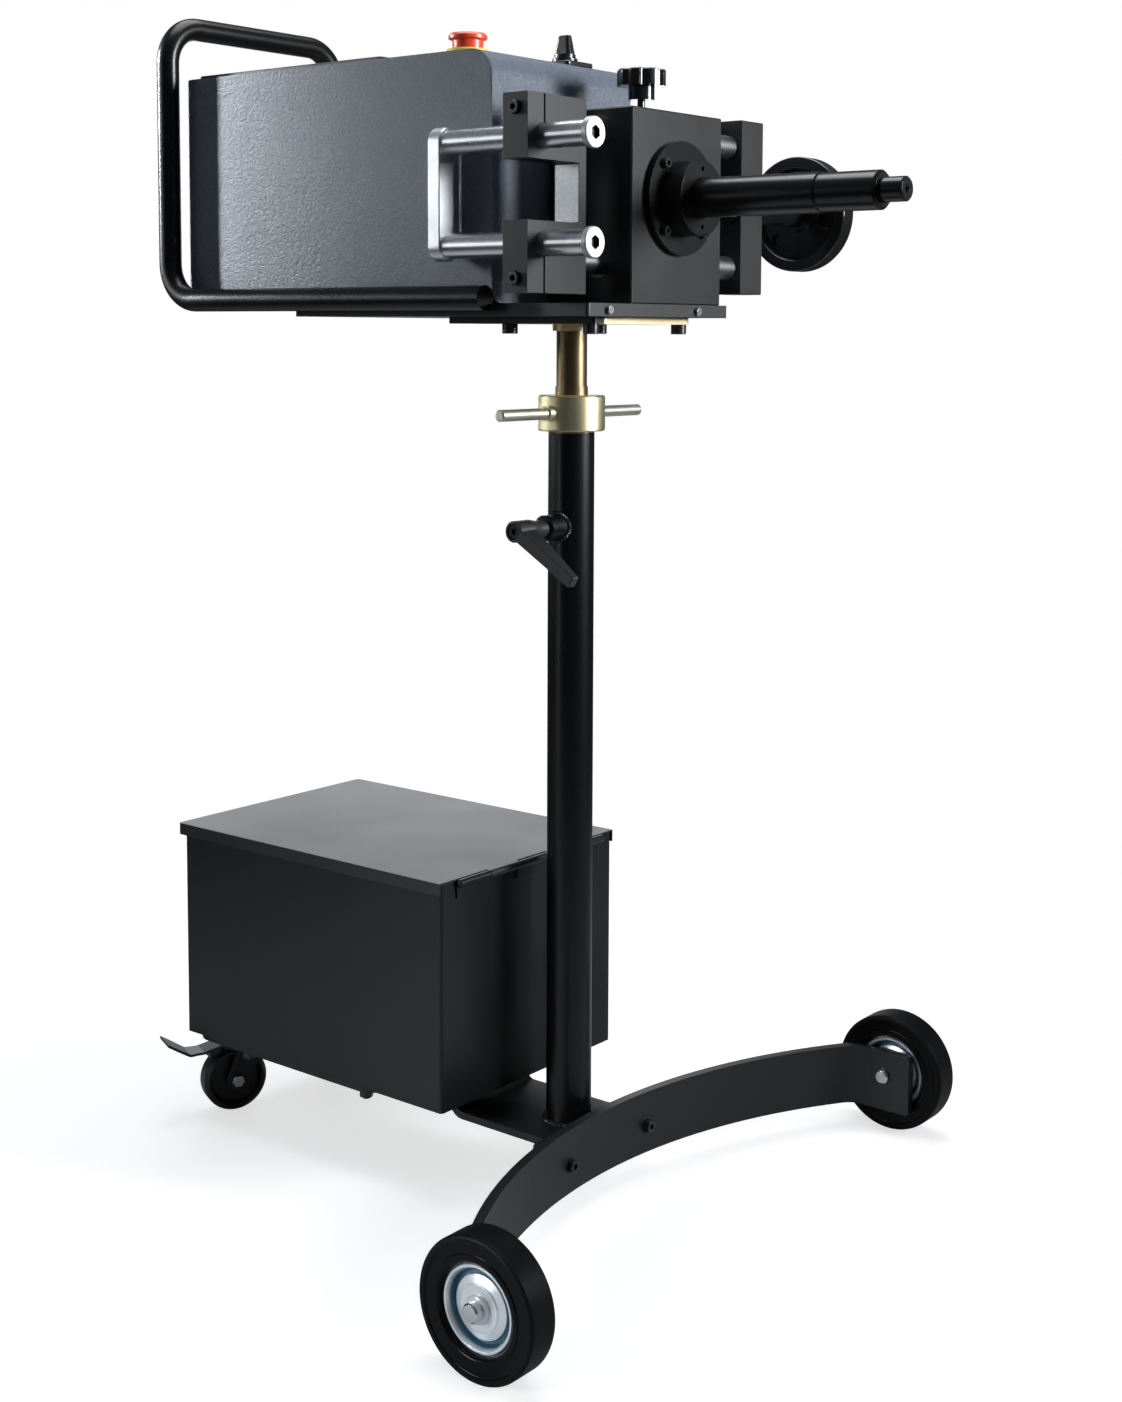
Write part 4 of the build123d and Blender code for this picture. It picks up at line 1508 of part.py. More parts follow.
hand_r = WHEEL_HAND_D / 2
web_edge = hand_r - WHEEL_HAND_RIM + WHEEL_HAND_SEAM
pocket_r = (WHEEL_HAND_HUB_D / 2 + web_edge) / 2
hand_line = Axis((rod_x, 0, SPINDLE_Z), (0, 1, 0))
hand_section = Plane(origin=(rod_x, WHEEL_HAND_Y, SPINDLE_Z), x_dir=(0, 1, 0), z_dir=(1, 0, 0))
with BuildPart() as handwheel:
    with BuildSketch(hand_section):
        with Locations((WHEEL_HAND_WIDTH / 2, hand_r - WHEEL_HAND_RIM / 2)):
            RectangleRounded(WHEEL_HAND_WIDTH, WHEEL_HAND_RIM, WHEEL_HAND_ROUND)
        with BuildLine():
            Polyline(
                (-WHEEL_HAND_NOSE, FEED_SLEEVE_OD / 2 + SEAT_GAP),
                (-WHEEL_HAND_NOSE, WHEEL_HAND_HUB_D / 2 - WHEEL_HAND_TAPER),
                (WHEEL_HAND_DISH / 2, WHEEL_HAND_HUB_D / 2),
                (WHEEL_HAND_DISH, web_edge),
                (WHEEL_HAND_DISH + WHEEL_HAND_WEB, web_edge),
                (WHEEL_HAND_WIDTH, WHEEL_HAND_HUB_D / 2),
                (WHEEL_HAND_WIDTH, FEED_SLEEVE_OD / 2 + SEAT_GAP),
                close=True,
            )
        make_face()
    revolve(axis=hand_line)
    with BuildSketch(facing(rod_x, WHEEL_HAND_Y, SPINDLE_Z, (0, 1, 0))):
        with PolarLocations(pocket_r, WHEEL_HAND_POCKETS, start_angle=90):
            SlotOverall(WHEEL_HAND_POCKET, WHEEL_HAND_POCKET / 2, rotation=90)
    extrude(amount=WHEEL_HAND_DISH + WHEEL_HAND_POCKET_DEPTH, mode=Mode.SUBTRACT)
write_piece(handwheel, "handwheel")

# Tool rods, their end caps and the yoke that joins them at the back

yoke_front_x = BLOCK_BACK_X - TOOL_ROD_BACK
rod_front_x = BLOCK_FRONT_X + TOOL_ROD_FRONT
with BuildPart() as tool_rods:
    for z in (TOOL_ROD_LOW, TOOL_ROD_HIGH):
        with Locations(facing(yoke_front_x + SEAT_GAP, TOOL_ROD_Y, z, (1, 0, 0))):
            Cylinder(ROD_D / 2, rod_front_x - yoke_front_x - 2 * SEAT_GAP, align=STANDING)
write_piece(tool_rods, "tool_rods")

with BuildPart() as tool_rod_caps:
    for z in (TOOL_ROD_LOW, TOOL_ROD_HIGH):
        with BuildSketch(facing(rod_front_x, TOOL_ROD_Y, z, (1, 0, 0))):
            Circle(TOOL_CAP_D / 2)
        extrude(amount=TOOL_CAP_LENGTH)
        with BuildSketch(facing(rod_front_x + TOOL_CAP_LENGTH, TOOL_ROD_Y, z, (1, 0, 0))):
            RegularPolygon(TOOL_CAP_SOCKET / 2, 6, major_radius=False)
        extrude(amount=-TOOL_CAP_SOCKET_DEPTH, mode=Mode.SUBTRACT)
    chamfer(tool_rod_caps.edges().filter_by(GeomType.CIRCLE), EDGE_BREAK)
write_piece(tool_rod_caps, "tool_rod_caps")

with BuildPart() as tool_yoke:
    with BuildSketch(Plane.YZ.offset(yoke_front_x)):
        with Locations((TOOL_ROD_Y, SPINDLE_Z)):
            SlotOverall(TOOL_ROD_SPACING + YOKE_WIDTH, YOKE_WIDTH, rotation=90)
    extrude(amount=-YOKE_THICKNESS)
    chamfer(tool_yoke.faces().filter_by(Axis.X).edges(), EDGE_BREAK)
write_piece(tool_yoke, "tool_yoke")
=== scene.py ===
import logging
import math
from abc import ABC, abstractmethod
from dataclasses import dataclass, field, replace
from enum import Enum
from functools import cache
from typing import Any, Mapping, Sequence

import bmesh
import bpy
from mathutils import Euler, Matrix, Vector


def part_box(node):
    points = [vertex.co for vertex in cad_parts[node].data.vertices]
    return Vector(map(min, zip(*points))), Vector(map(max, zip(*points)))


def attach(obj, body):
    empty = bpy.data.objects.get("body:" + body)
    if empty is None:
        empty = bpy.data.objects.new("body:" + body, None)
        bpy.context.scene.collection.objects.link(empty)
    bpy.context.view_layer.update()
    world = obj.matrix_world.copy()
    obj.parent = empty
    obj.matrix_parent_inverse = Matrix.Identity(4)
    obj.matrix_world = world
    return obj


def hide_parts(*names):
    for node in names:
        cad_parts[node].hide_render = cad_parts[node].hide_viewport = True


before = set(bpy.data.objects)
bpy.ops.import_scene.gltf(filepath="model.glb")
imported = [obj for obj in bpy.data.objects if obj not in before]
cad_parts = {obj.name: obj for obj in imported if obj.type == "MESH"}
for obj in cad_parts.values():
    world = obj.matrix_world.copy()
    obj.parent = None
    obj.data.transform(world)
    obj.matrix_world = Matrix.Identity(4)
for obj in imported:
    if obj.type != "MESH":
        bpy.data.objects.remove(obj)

LOG = logging.getLogger("brake_disc_lathe")
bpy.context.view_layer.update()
PHOTO_SIZE = (1122, 1402)
MM = 0.001
BEVEL_SAMPLES = 4
SHARP_EDGE = math.radians(35.0)
SIDES = ("left", "right")
FORWARD = Vector((1.0, 0.0, 0.0))
SIDEWAYS = Vector((0.0, 1.0, 0.0))
UPWARD = Vector((0.0, 0.0, 1.0))

Colour = tuple[float, float, float]
Corner = tuple[float, float, float]
Span = tuple[float, float]


class Along(Enum):
    """The frame's axis that a turned or ground piece lies along."""

    X = "X"
    Y = "Y"
    Z = "Z"


class Signal:
    """A socket that carries a shader value; expressions on it add Math nodes."""

    def __init__(self, graph: "Graph", socket: bpy.types.NodeSocket) -> None:
        """Wrap an output of one of the graph's nodes."""
        self.graph = graph
        self.socket = socket

    def _math(self, operation: str, first: Any, second: Any) -> "Signal":
        """The result of one Math node on two values."""
        return self.graph.signal("ShaderNodeMath", {"operation": operation}, {0: first, 1: second})

    def __add__(self, other: Any) -> "Signal":
        """The sum with another value."""
        return self._math("ADD", self, other)

    def __radd__(self, other: Any) -> "Signal":
        """The sum with a number on the left."""
        return self._math("ADD", other, self)

    def __sub__(self, other: Any) -> "Signal":
        """The difference from another value."""
        return self._math("SUBTRACT", self, other)

    def __rsub__(self, other: Any) -> "Signal":
        """A number less this value."""
        return self._math("SUBTRACT", other, self)

    def __mul__(self, other: Any) -> "Signal":
        """The product with another value."""
        return self._math("MULTIPLY", self, other)

    def __rmul__(self, other: Any) -> "Signal":
        """The product with a number on the left."""
        return self._math("MULTIPLY", other, self)

    def swing(self, size: float) -> "Signal":
        """A value between 0 and 1 turned into a swing of this size about 0."""
        return (self - 0.5) * size

    def sine(self) -> "Signal":
        """The sine of this value."""
        return self.graph.signal("ShaderNodeMath", {"operation": "SINE"}, {0: self})

    def clamped(self) -> "Signal":
        """This value kept between 0 and 1."""
        return self.graph.signal("ShaderNodeClamp", {}, {"Value": self})


class Graph:
    """The node tree of one finish, or of the room around the scene."""

    def __init__(self, tree: bpy.types.NodeTree) -> None:
        """Start with an empty tree."""
        self.tree = tree
        self.tree.nodes.clear()

    def node(self, kind: str, settings: Mapping[str, Any], inputs: Mapping[Any, Any]) -> bpy.types.Node:
        """Add a node, set it up, then fill or link its sockets.

        Args:
            kind: the node's type.
            settings: its properties.
            inputs: values or signals, by socket name or number.

        Returns:
            The new node.
        """
        made = self.tree.nodes.new(kind)
        for key, value in settings.items():
            setattr(made, key, value)
        for key, value in inputs.items():
            if isinstance(value, Signal):
                self.tree.links.new(value.socket, made.inputs[key])
            else:
                made.inputs[key].default_value = value
        return made

    def signal(
        self, kind: str, settings: Mapping[str, Any], inputs: Mapping[Any, Any], output: int | str = 0
    ) -> Signal:
        """One output of a new node."""
        return Signal(self, self.node(kind, settings, inputs).outputs[output])

    def place(self) -> Signal:
        """The point on the piece, in metres in the frame."""
        return self.signal("ShaderNodeTexCoord", {}, {}, "Object")

    def vector(self, operation: str, *values: Any, output: int | str = 0) -> Signal:
        """The result of one Vector Math node."""
        inputs = dict(enumerate(values))
        return self.signal("ShaderNodeVectorMath", {"operation": operation}, inputs, output)

    def part(self, vector: Signal, axis: Along) -> Signal:
        """One coordinate of a vector."""
        return self.signal("ShaderNodeSeparateXYZ", {}, {"Vector": vector}, axis.value)

    def noise(
        self, scale: float, detail: float = 2.0, distortion: float = 0.0, where: Signal | None = None
    ) -> Signal:
        """Cloudy noise, mostly between 0.3 and 0.7.

        Args:
            scale: repeats per metre.
            detail: octaves of finer noise.
            distortion: how far the noise is drawn out of shape.
            where: the point to sample, or none for the point on the piece.

        Returns:
            The noise.
        """
        return self.signal("ShaderNodeTexNoise", {}, {
            "Vector": where or self.place(), "Scale": scale, "Detail": detail, "Distortion": distortion,
        }, "Fac")

    def lines(self, coordinate: Signal, scale: float, detail: float = 3.0) -> Signal:
        """Noise that changes along one coordinate only, as tool marks do."""
        inputs = {"W": coordinate, "Scale": scale, "Detail": detail}
        return self.signal("ShaderNodeTexNoise", {"noise_dimensions": "1D"}, inputs, "Fac")

    def spread(self, value: Signal, low: float, high: float) -> Signal:
        """A value stretched so that low becomes 0 and high becomes 1."""
        return self.signal("ShaderNodeMapRange", {}, {"Value": value, "From Min": low, "From Max": high})

    def blend(self, share: Signal, first: Any, second: Any) -> Signal:
        """A colour that goes from the first to the second as share goes from 0 to 1."""
        inputs = {0: share, 6: _rgba(first), 7: _rgba(second)}
        return self.signal("ShaderNodeMix", {"data_type": "RGBA"}, inputs, 2)

    def mottled(self, share: Signal, colour: Colour, tints: Span) -> Signal:
        """A colour that goes from its first tint to its second as share goes from 0 to 1."""
        return self.blend(share, _tint(colour, tints[0]), _tint(colour, tints[1]))

    def radius(self, centre: Corner, along: Along) -> Signal:
        """Measure the distance from a line along an axis.

        Args:
            centre: a point on the line.
            along: the axis.

        Returns:
            The distance.
        """
        offset = self.vector("SUBTRACT", self.place(), centre)
        across = self.vector("MULTIPLY", offset, tuple(0.0 if axis is along else 1.0 for axis in Along))
        return self.vector("LENGTH", across, output="Value")

    def rounded(self, size: float) -> Signal:
        """A normal that runs round sharp edges with a radius in metres."""
        return self.signal("ShaderNodeBevel", {"samples": BEVEL_SAMPLES}, {"Radius": size})

    def edges(self, normal: Signal, turn: Span = (0.02, 0.22)) -> Signal:
        """Find the edges by how far a rounded normal leaves the face.

        Args:
            normal: the rounded normal.
            turn: how far it has turned where an edge begins, and where it is whole.

        Returns:
            A mask that is 0 on flats and 1 on edges.
        """
        face = self.signal("ShaderNodeNewGeometry", {}, {}, "Normal")
        along = self.vector("DOT_PRODUCT", normal, face, output="Value")
        return self.spread(1.0 - along, *turn)

    def bump(self, height: Signal, depth: float, normal: Signal | None = None) -> Signal:
        """Lay a relief on the surface.

        Args:
            height: the relief, between 0 and 1.
            depth: its depth in metres.
            normal: the normal that it starts from, or none for the face's own.

        Returns:
            The new normal.
        """
        inputs: dict[str, Any] = {"Height": height, "Distance": depth, "Strength": 1.0}
        if normal is not None:
            inputs["Normal"] = normal
        return self.signal("ShaderNodeBump", {}, inputs)

    def within(self, low: Corner, high: Corner, soft: float) -> Signal:
        """Mask a box.

        Args:
            low: the box's lowest corner.
            high: its highest corner.
            soft: how far the mask fades outside each side.

        Returns:
            A mask that is 1 inside the box and 0 outside it.
        """
        place = self.place()
        mask: Any = 1.0
        for axis, least, most in zip(Along, low, high):
            value = self.part(place, axis)
            mask = self.spread(value, least - soft, least) * self.spread(value, most + soft, most) * mask
        return mask


def _rgba(colour: Any) -> Any:
    """A colour with its fourth value, or a signal as it is."""
    return colour if isinstance(colour, Signal) else (*colour, 1.0)


def _tint(colour: Colour, factor: float) -> Colour:
    """A colour made lighter or darker."""
    return tuple(min(1.0, part * factor) for part in colour)


@dataclass(frozen=True)
class Finish(ABC):
    """A surface finish, which makes one material."""

    name: str

    @abstractmethod
    def inputs(self, graph: Graph) -> dict[str, Any]:
        """The surface shader's values and signals."""


@dataclass(frozen=True)
class PowderCoat(Finish):
    """Baked powder paint: a fine orange-peel relief, soft clouds in its sheen, worn edges."""

    colour: Colour = (0.006, 0.0065, 0.0075)
    roughness: float = 0.36
    specular: float = 0.5
    grain: float = 1.6 * MM
    relief: float = 0.03 * MM
    edge: float = 0.9 * MM
    worn: float = 3.0
    wear: Span = (0.35, 0.6)
    clouds: float = 7.0
    cloud_tints: Span = (0.8, 1.25)
    cloud_sheen: float = 0.12
    grain_sheen: float = 0.1

    def inputs(self, graph: Graph) -> dict[str, Any]:
        """Mix the painted surface.

        Args:
            graph: the material's graph.

        Returns:
            The shader's inputs.
        """
        clouds = graph.noise(self.clouds, detail=3.0)
        grain = graph.noise(1.0 / self.grain)
        rounded = graph.rounded(self.edge)
        edges = graph.edges(rounded) * graph.spread(clouds, *self.wear)
        painted = graph.mottled(clouds, self.colour, self.cloud_tints)
        return {
            "Base Color": graph.blend(edges, painted, _tint(self.colour, self.worn)),
            "Roughness": self.roughness + clouds.swing(self.cloud_sheen) + grain.swing(self.grain_sheen),
            "Specular IOR Level": self.specular,
            "Normal": graph.bump(grain, self.relief, rounded),
        }


@dataclass(frozen=True)
class WrinkleCoat(Finish):
    """Textured paint whose skin is drawn into small wrinkles, with painted shade in their creases,
    painted light on their ridges, and fine lighter specks.
    """

    colour: Colour = (0.083, 0.1, 0.13)
    roughness: float = 0.46
    specular: float = 0.5
    wrinkle: float = 5.5 * MM
    distortion: float = 1.6
    relief: float = 0.32 * MM
    edge: float = 1.2 * MM
    ridge: Span = (0.36, 0.64)
    # painted shade and light: darker in the creases, lighter on the ridges
    crease_shade_tints: Span = (0.74, 1.14)
    ridge_sheen: float = 0.06
    clouds: float = 5.0
    cloud: Span = (0.3, 0.7)
    cloud_tint: float = 1.08
    cloud_sheen: float = 0.08
    specks_per_wrinkle: float = 1.6
    speck: Span = (0.6, 0.72)
    speck_tint: float = 1.7
    speck_share: float = 0.5

    def inputs(self, graph: Graph) -> dict[str, Any]:
        """Mix the wrinkled surface.

        Args:
            graph: the material's graph.

        Returns:
            The shader's inputs.
        """
        clouds = graph.noise(self.clouds, detail=3.0)
        wrinkles = graph.noise(1.0 / self.wrinkle, detail=3.0, distortion=self.distortion)
        ridges = graph.spread(wrinkles, *self.ridge)
        dots = graph.noise(self.specks_per_wrinkle / self.wrinkle, detail=1.0)
        specks = graph.spread(dots, *self.speck) * self.speck_share
        # Painted shade in the wrinkles' creases and painted light on their ridges.
        painted = graph.mottled(ridges, self.colour, self.crease_shade_tints)
        clouded = graph.spread(clouds, *self.cloud)
        cloudy = graph.blend(clouded, painted, _tint(self.colour, self.cloud_tint))
        return {
            "Base Color": graph.blend(specks, cloudy, _tint(self.colour, self.speck_tint)),
            "Roughness": self.roughness + ridges * self.ridge_sheen + clouds.swing(self.cloud_sheen),
            "Specular IOR Level": self.specular,
            "Normal": graph.bump(ridges, self.relief, graph.rounded(self.edge)),
        }


@dataclass(frozen=True)
class MilledBlack(Finish):
    """Blacked metal with the fine straight marks of the mill; one seat may be left bare."""

    colour: Colour = (0.0105, 0.0108, 0.0114)
    roughness: float = 0.42
    specular: float = 0.4
    along: Along = Along.Z
    marks_along: float = 25.0
    marks_across: float = 2600.0
    mark_sheen: float = 0.14
    grain: float = 0.9 * MM
    grain_tints: Span = (0.75, 1.3)
    grain_height: float = 3.0
    relief: float = 0.006 * MM
    edge: float = 0.7 * MM
    worn: float = 7.0
    wear: Span = (0.25, 0.5)
    clouds: float = 18.0
    cloud_sheen: float = 0.1
    bare: tuple[Corner, Corner] | None = None
    bare_fade: float = 0.3 * MM
    bare_colour: Colour = (0.85, 0.86, 0.88)
    bare_tints: Span = (0.6, 1.0)
    bare_clouds: float = 420.0
    bare_sheen: float = 0.1

    def inputs(self, graph: Graph) -> dict[str, Any]:
        """Mix the milled surface, and the bare metal of its seat.

        Args:
            graph: the material's graph.

        Returns:
            The shader's inputs.
        """
        fine = tuple(self.marks_along if axis is self.along else self.marks_across for axis in Along)
        marks = graph.noise(1.0, where=graph.vector("MULTIPLY", graph.place(), fine))
        grain = graph.noise(1.0 / self.grain, detail=3.0)
        clouds = graph.noise(self.clouds, detail=3.0)
        rounded = graph.rounded(self.edge)
        edges = graph.edges(rounded) * graph.spread(clouds, *self.wear)
        face = graph.mottled(grain, self.colour, self.grain_tints)
        values: dict[str, Any] = {
            "Base Color": graph.blend(edges, face, _tint(self.colour, self.worn)),
            "Roughness": self.roughness + marks.swing(self.mark_sheen) + clouds.swing(self.cloud_sheen),
            "Specular IOR Level": self.specular,
            "Normal": graph.bump(grain * self.grain_height + marks, self.relief, rounded),
        }
        if self.bare is not None:
            bare = graph.within(*self.bare, self.bare_fade)
            stains = graph.noise(self.bare_clouds, detail=3.0)
            metal = graph.mottled(stains, self.bare_colour, self.bare_tints)
            values["Base Color"] = graph.blend(bare, values["Base Color"], metal)
            values["Metallic"] = bare
            values["Roughness"] = values["Roughness"] - bare * self.bare_sheen
        return values


@dataclass(frozen=True)
class TurnedMetal(Finish):
    """Metal from the lathe or the grinder: rings across its axis, and soft handling stains."""

    colour: Colour = (0.6, 0.6, 0.6)
    roughness: float = 0.24
    metallic: float = 1.0
    along: Along = Along.Z
    pitch: float = 0.35 * MM
    depth: float = 0.004 * MM
    edge: float = 0.4 * MM
    mark: float = 0.14
    mark_share: float = 2.5
    mark_tint: float = 1.2
    stain: Colour = (0.4, 0.4, 0.4)
    stained: Span = (0.42, 0.72)
    stain_sheen: float = 0.02
    clouds: float = 22.0

    def inputs(self, graph: Graph) -> dict[str, Any]:
        """Mix the turned surface.

        Args:
            graph: the material's graph.

        Returns:
            The shader's inputs.
        """
        rings = graph.lines(graph.part(graph.place(), self.along), 1.0 / self.pitch)
        clouds = graph.noise(self.clouds, detail=4.0)
        metal = graph.blend(graph.spread(clouds, *self.stained), self.colour, self.stain)
        marked = rings * (self.mark * self.mark_share)
        sheen = rings.swing(self.mark) + clouds.swing(self.mark + self.stain_sheen)
        return {
            "Base Color": graph.blend(marked, metal, _tint(self.colour, self.mark_tint)),
            "Metallic": self.metallic,
            "Roughness": self.roughness + sheen,
            "Normal": graph.bump(rings, self.depth, graph.rounded(self.edge)),
        }


@dataclass(frozen=True)
class SocketedCap(TurnedMetal):
    """Turned metal with key sockets that are darkened inside by painted shade."""

    sockets: tuple[tuple[Corner, Corner], ...] = ()
    socket_fade: float = 0.2 * MM
    # painted shade: the colour laid inside the sockets for the shadow in them
    socket_shade_colour: Colour = (0.004, 0.004, 0.0045)

    def inputs(self, graph: Graph) -> dict[str, Any]:
        """Mix the turned surface, darkened by painted shade inside each socket's box.

        Args:
            graph: the material's graph.

        Returns:
            The shader's inputs.
        """
        values = super().inputs(graph)
        for low, high in self.sockets:
            # Painted shade: dark and not metallic inside each socket.
            inside = graph.within(low, high, self.socket_fade)
            values["Base Color"] = graph.blend(inside, values["Base Color"], self.socket_shade_colour)
            values["Metallic"] = (1.0 - inside) * values["Metallic"]
        return values


@dataclass(frozen=True)
class Moulded(Finish):
    """Moulded plastic with a faint skin texture."""

    colour: Colour = (0.01, 0.01, 0.0105)
    roughness: float = 0.28
    grain: float = 0.7 * MM
    grain_sheen: float = 0.1
    relief: float = 0.012 * MM
    edge: float = 0.5 * MM
    clouds: float = 30.0
    cloud_tints: Span = (0.85, 1.15)
    cloud_sheen: float = 0.12
    coat: float = 0.0
    coat_roughness: float = 0.12

    def inputs(self, graph: Graph) -> dict[str, Any]:
        """Mix the plastic surface.

        Args:
            graph: the material's graph.

        Returns:
            The shader's inputs.
        """
        grain = graph.noise(1.0 / self.grain)
        clouds = graph.noise(self.clouds, detail=3.0)
        return {
            "Base Color": graph.mottled(clouds, self.colour, self.cloud_tints),
            "Roughness": self.roughness + grain.swing(self.grain_sheen) + clouds.swing(self.cloud_sheen),
            "Coat Weight": self.coat,
            "Coat Roughness": self.coat_roughness,
            "Normal": graph.bump(grain, self.relief, graph.rounded(self.edge)),
        }


@dataclass(frozen=True)
class TyreRubber(Finish):
    """Moulded rubber about an axle: a dusty tread and a shiny sidewall with fine rings."""

    centre: Corner
    outside: float
    tread_inset: Span = (6.5 * MM, 1.5 * MM)
    tread_sheen: float = 0.3
    ring: float = 2.4 * MM
    ring_height: float = 0.4
    colour: Colour = (0.003, 0.003, 0.0033)
    dust: Colour = (0.004, 0.0043, 0.0048)
    dusted: Span = (0.2, 0.8)
    roughness: float = 0.2
    specular: float = 0.12
    clouds: float = 60.0
    cloud_sheen: float = 0.16
    specks: float = 900.0
    relief: float = 0.03 * MM

    def inputs(self, graph: Graph) -> dict[str, Any]:
        """Mix the rubber surface.

        Args:
            graph: the material's graph.

        Returns:
            The shader's inputs.
        """
        radius = graph.radius(self.centre, Along.Y)
        tread = graph.spread(radius, *(self.outside - inset for inset in self.tread_inset))
        rings = (radius * (math.tau / self.ring)).sine()
        clouds = graph.noise(self.clouds, detail=4.0)
        specks = graph.noise(self.specks)
        dusty = (tread * graph.spread(clouds, *self.dusted)).clamped()
        return {
            "Base Color": graph.blend(dusty, self.colour, self.dust),
            "Roughness": self.roughness + tread * self.tread_sheen + clouds.swing(self.cloud_sheen),
            "Specular IOR Level": self.specular,
            "Normal": graph.bump(rings * (1.0 - tread) * self.ring_height + specks, self.relief),
        }


@dataclass(frozen=True)
class PressedRim(Finish):
    """Blue zinc on a pressed disc: rings about the axle, and painted shade that darkens the groove."""

    centre: Corner
    groove_inside: Span = (28.5 * MM, 30.5 * MM)
    groove_outside: Span = (36.0 * MM, 34.5 * MM)
    ring: float = 0.5 * MM
    ring_sheen: float = 0.12
    colour: Colour = (0.86, 0.9, 0.94)
    # painted shade: the dark colour laid in the groove in place of its shadow
    groove_shade_colour: Colour = (0.07, 0.16, 0.22)
    metallic: float = 0.6
    roughness: float = 0.3
    clouds: float = 40.0
    cloud_tints: Span = (1.0, 0.8)
    cloud_sheen: float = 0.12
    relief: float = 0.008 * MM
    edge: float = 0.5 * MM

    def inputs(self, graph: Graph) -> dict[str, Any]:
        """Mix the zinc surface.

        Args:
            graph: the material's graph.

        Returns:
            The shader's inputs.
        """
        radius = graph.radius(self.centre, Along.Y)
        # The groove's mask: the zinc there is darkened by painted shade.
        groove_shade_mask = graph.spread(radius, *self.groove_inside) * graph.spread(radius, *self.groove_outside)
        rings = graph.lines(radius, 1.0 / self.ring)
        clouds = graph.noise(self.clouds, detail=3.0)
        zinc = graph.mottled(clouds, self.colour, self.cloud_tints)
        return {
            "Base Color": graph.blend(groove_shade_mask, zinc, self.groove_shade_colour),
            "Metallic": self.metallic,
            "Roughness": self.roughness + rings.swing(self.ring_sheen) + clouds.swing(self.cloud_sheen),
            "Normal": graph.bump(rings, self.relief, graph.rounded(self.edge)),
        }


@dataclass(frozen=True)
class StudioFloor(Finish):
    """A pale floor that fades away around the machine."""

    colour: Colour = (0.6, 0.6, 0.605)
    middle: Corner = (0.0, 0.0, 0.0)
    whole: float = 0.8
    gone: float = 2.0
    dark: Colour = (0.0, 0.0, 0.0)
    glow: Colour = (1.0, 1.0, 1.0)
    glow_strength: float = 0.66
    roughness: float = 0.9
    specular: float = 0.1
    clouds: float = 1.5
    cloud_tints: Span = (0.99, 1.01)

    def inputs(self, graph: Graph) -> dict[str, Any]:
        """Mix the floor's surface.

        Args:
            graph: the material's graph.

        Returns:
            The shader's inputs.
        """
        radius = graph.radius(self.middle, Along.Z)
        seen = graph.signal("ShaderNodeLightPath", {}, {}, "Is Camera Ray")
        return {
            "Base Color": graph.mottled(graph.noise(self.clouds), self.colour, self.cloud_tints),
            "Roughness": self.roughness,
            "Specular IOR Level": self.specular,
            "Emission Color": graph.blend(seen, self.dark, self.glow),
            "Emission Strength": self.glow_strength,
            "Alpha": graph.spread(radius, self.gone, self.whole),
        }


@cache
def material(finish: Finish) -> bpy.types.Material:
    """Build a finish's material at its first use.

    Args:
        finish: the finish.

    Returns:
        Its material.
    """
    made = bpy.data.materials.new(finish.name)
    made.use_nodes = True
    graph = Graph(made.node_tree)
    shader = graph.signal("ShaderNodeBsdfPrincipled", {}, finish.inputs(graph))
    graph.node("ShaderNodeOutputMaterial", {}, {"Surface": shader})
    return made


STAND_PAINT = PowderCoat("stand_paint", colour=(0.008, 0.0085, 0.0095), roughness=0.44)
BOX_PAINT = PowderCoat("box_paint", colour=(0.004, 0.0046, 0.0055))
LID_PAINT = PowderCoat("lid_paint", colour=(0.02, 0.021, 0.023), roughness=0.4, relief=0.015 * MM)
TUBE_PAINT = PowderCoat(
    "tube_paint", colour=(0.003, 0.0032, 0.0036), roughness=0.3, specular=0.36, grain=1.1 * MM
)
HANDLE_PAINT = PowderCoat(
    "handle_paint", colour=(0.003, 0.003, 0.0034), roughness=0.28, specular=0.36, relief=0.01 * MM
)
WELD_PAINT = PowderCoat("weld_paint", colour=(0.012, 0.012, 0.013), roughness=0.2, edge=0.3 * MM)
COVER_PAINT = WrinkleCoat("cover_paint")
HATCH_PAINT = PowderCoat("hatch_paint", colour=(0.01, 0.01, 0.011), roughness=0.55)
LEVER_PAINT = PowderCoat("lever_paint", colour=(0.02, 0.0205, 0.021), roughness=0.4, grain=0.8 * MM)
GEARBOX_BLACK = MilledBlack("gearbox_black", colour=(0.01, 0.0103, 0.0108), along=Along.Y, roughness=0.38)
END_BLOCK_BLACK = MilledBlack("end_block_black")
SPINDLE_BLACK = TurnedMetal(
    "spindle_black", colour=(0.006, 0.006, 0.0064), along=Along.X, depth=0.001 * MM,
    stain=(0.004, 0.004, 0.0042), metallic=0.0, mark=0.04,
)
SLEEVE_BLACK = TurnedMetal(
    "sleeve_black", colour=(0.008, 0.008, 0.0085), along=Along.Y, stain=(0.005, 0.005, 0.0052),
    metallic=0.0, mark=0.06,
)
SCREW_BLACK = TurnedMetal(
    "screw_black", colour=(0.06, 0.06, 0.062), roughness=0.26, stain=(0.03, 0.03, 0.032), metallic=0.7
)
ROD_CHROME_X = TurnedMetal(
    "rod_chrome_x", colour=(0.92, 0.93, 0.95), roughness=0.26, along=Along.X, depth=0.001 * MM,
    stain=(0.8, 0.81, 0.83), mark=0.04,
)
ROD_CHROME_Y = replace(ROD_CHROME_X, name="rod_chrome_y", along=Along.Y)
CAP_STEEL = SocketedCap(
    "cap_steel", colour=(0.5, 0.51, 0.53), roughness=0.44, along=Along.X, stain=(0.44, 0.45, 0.47),
    mark=0.06,
)
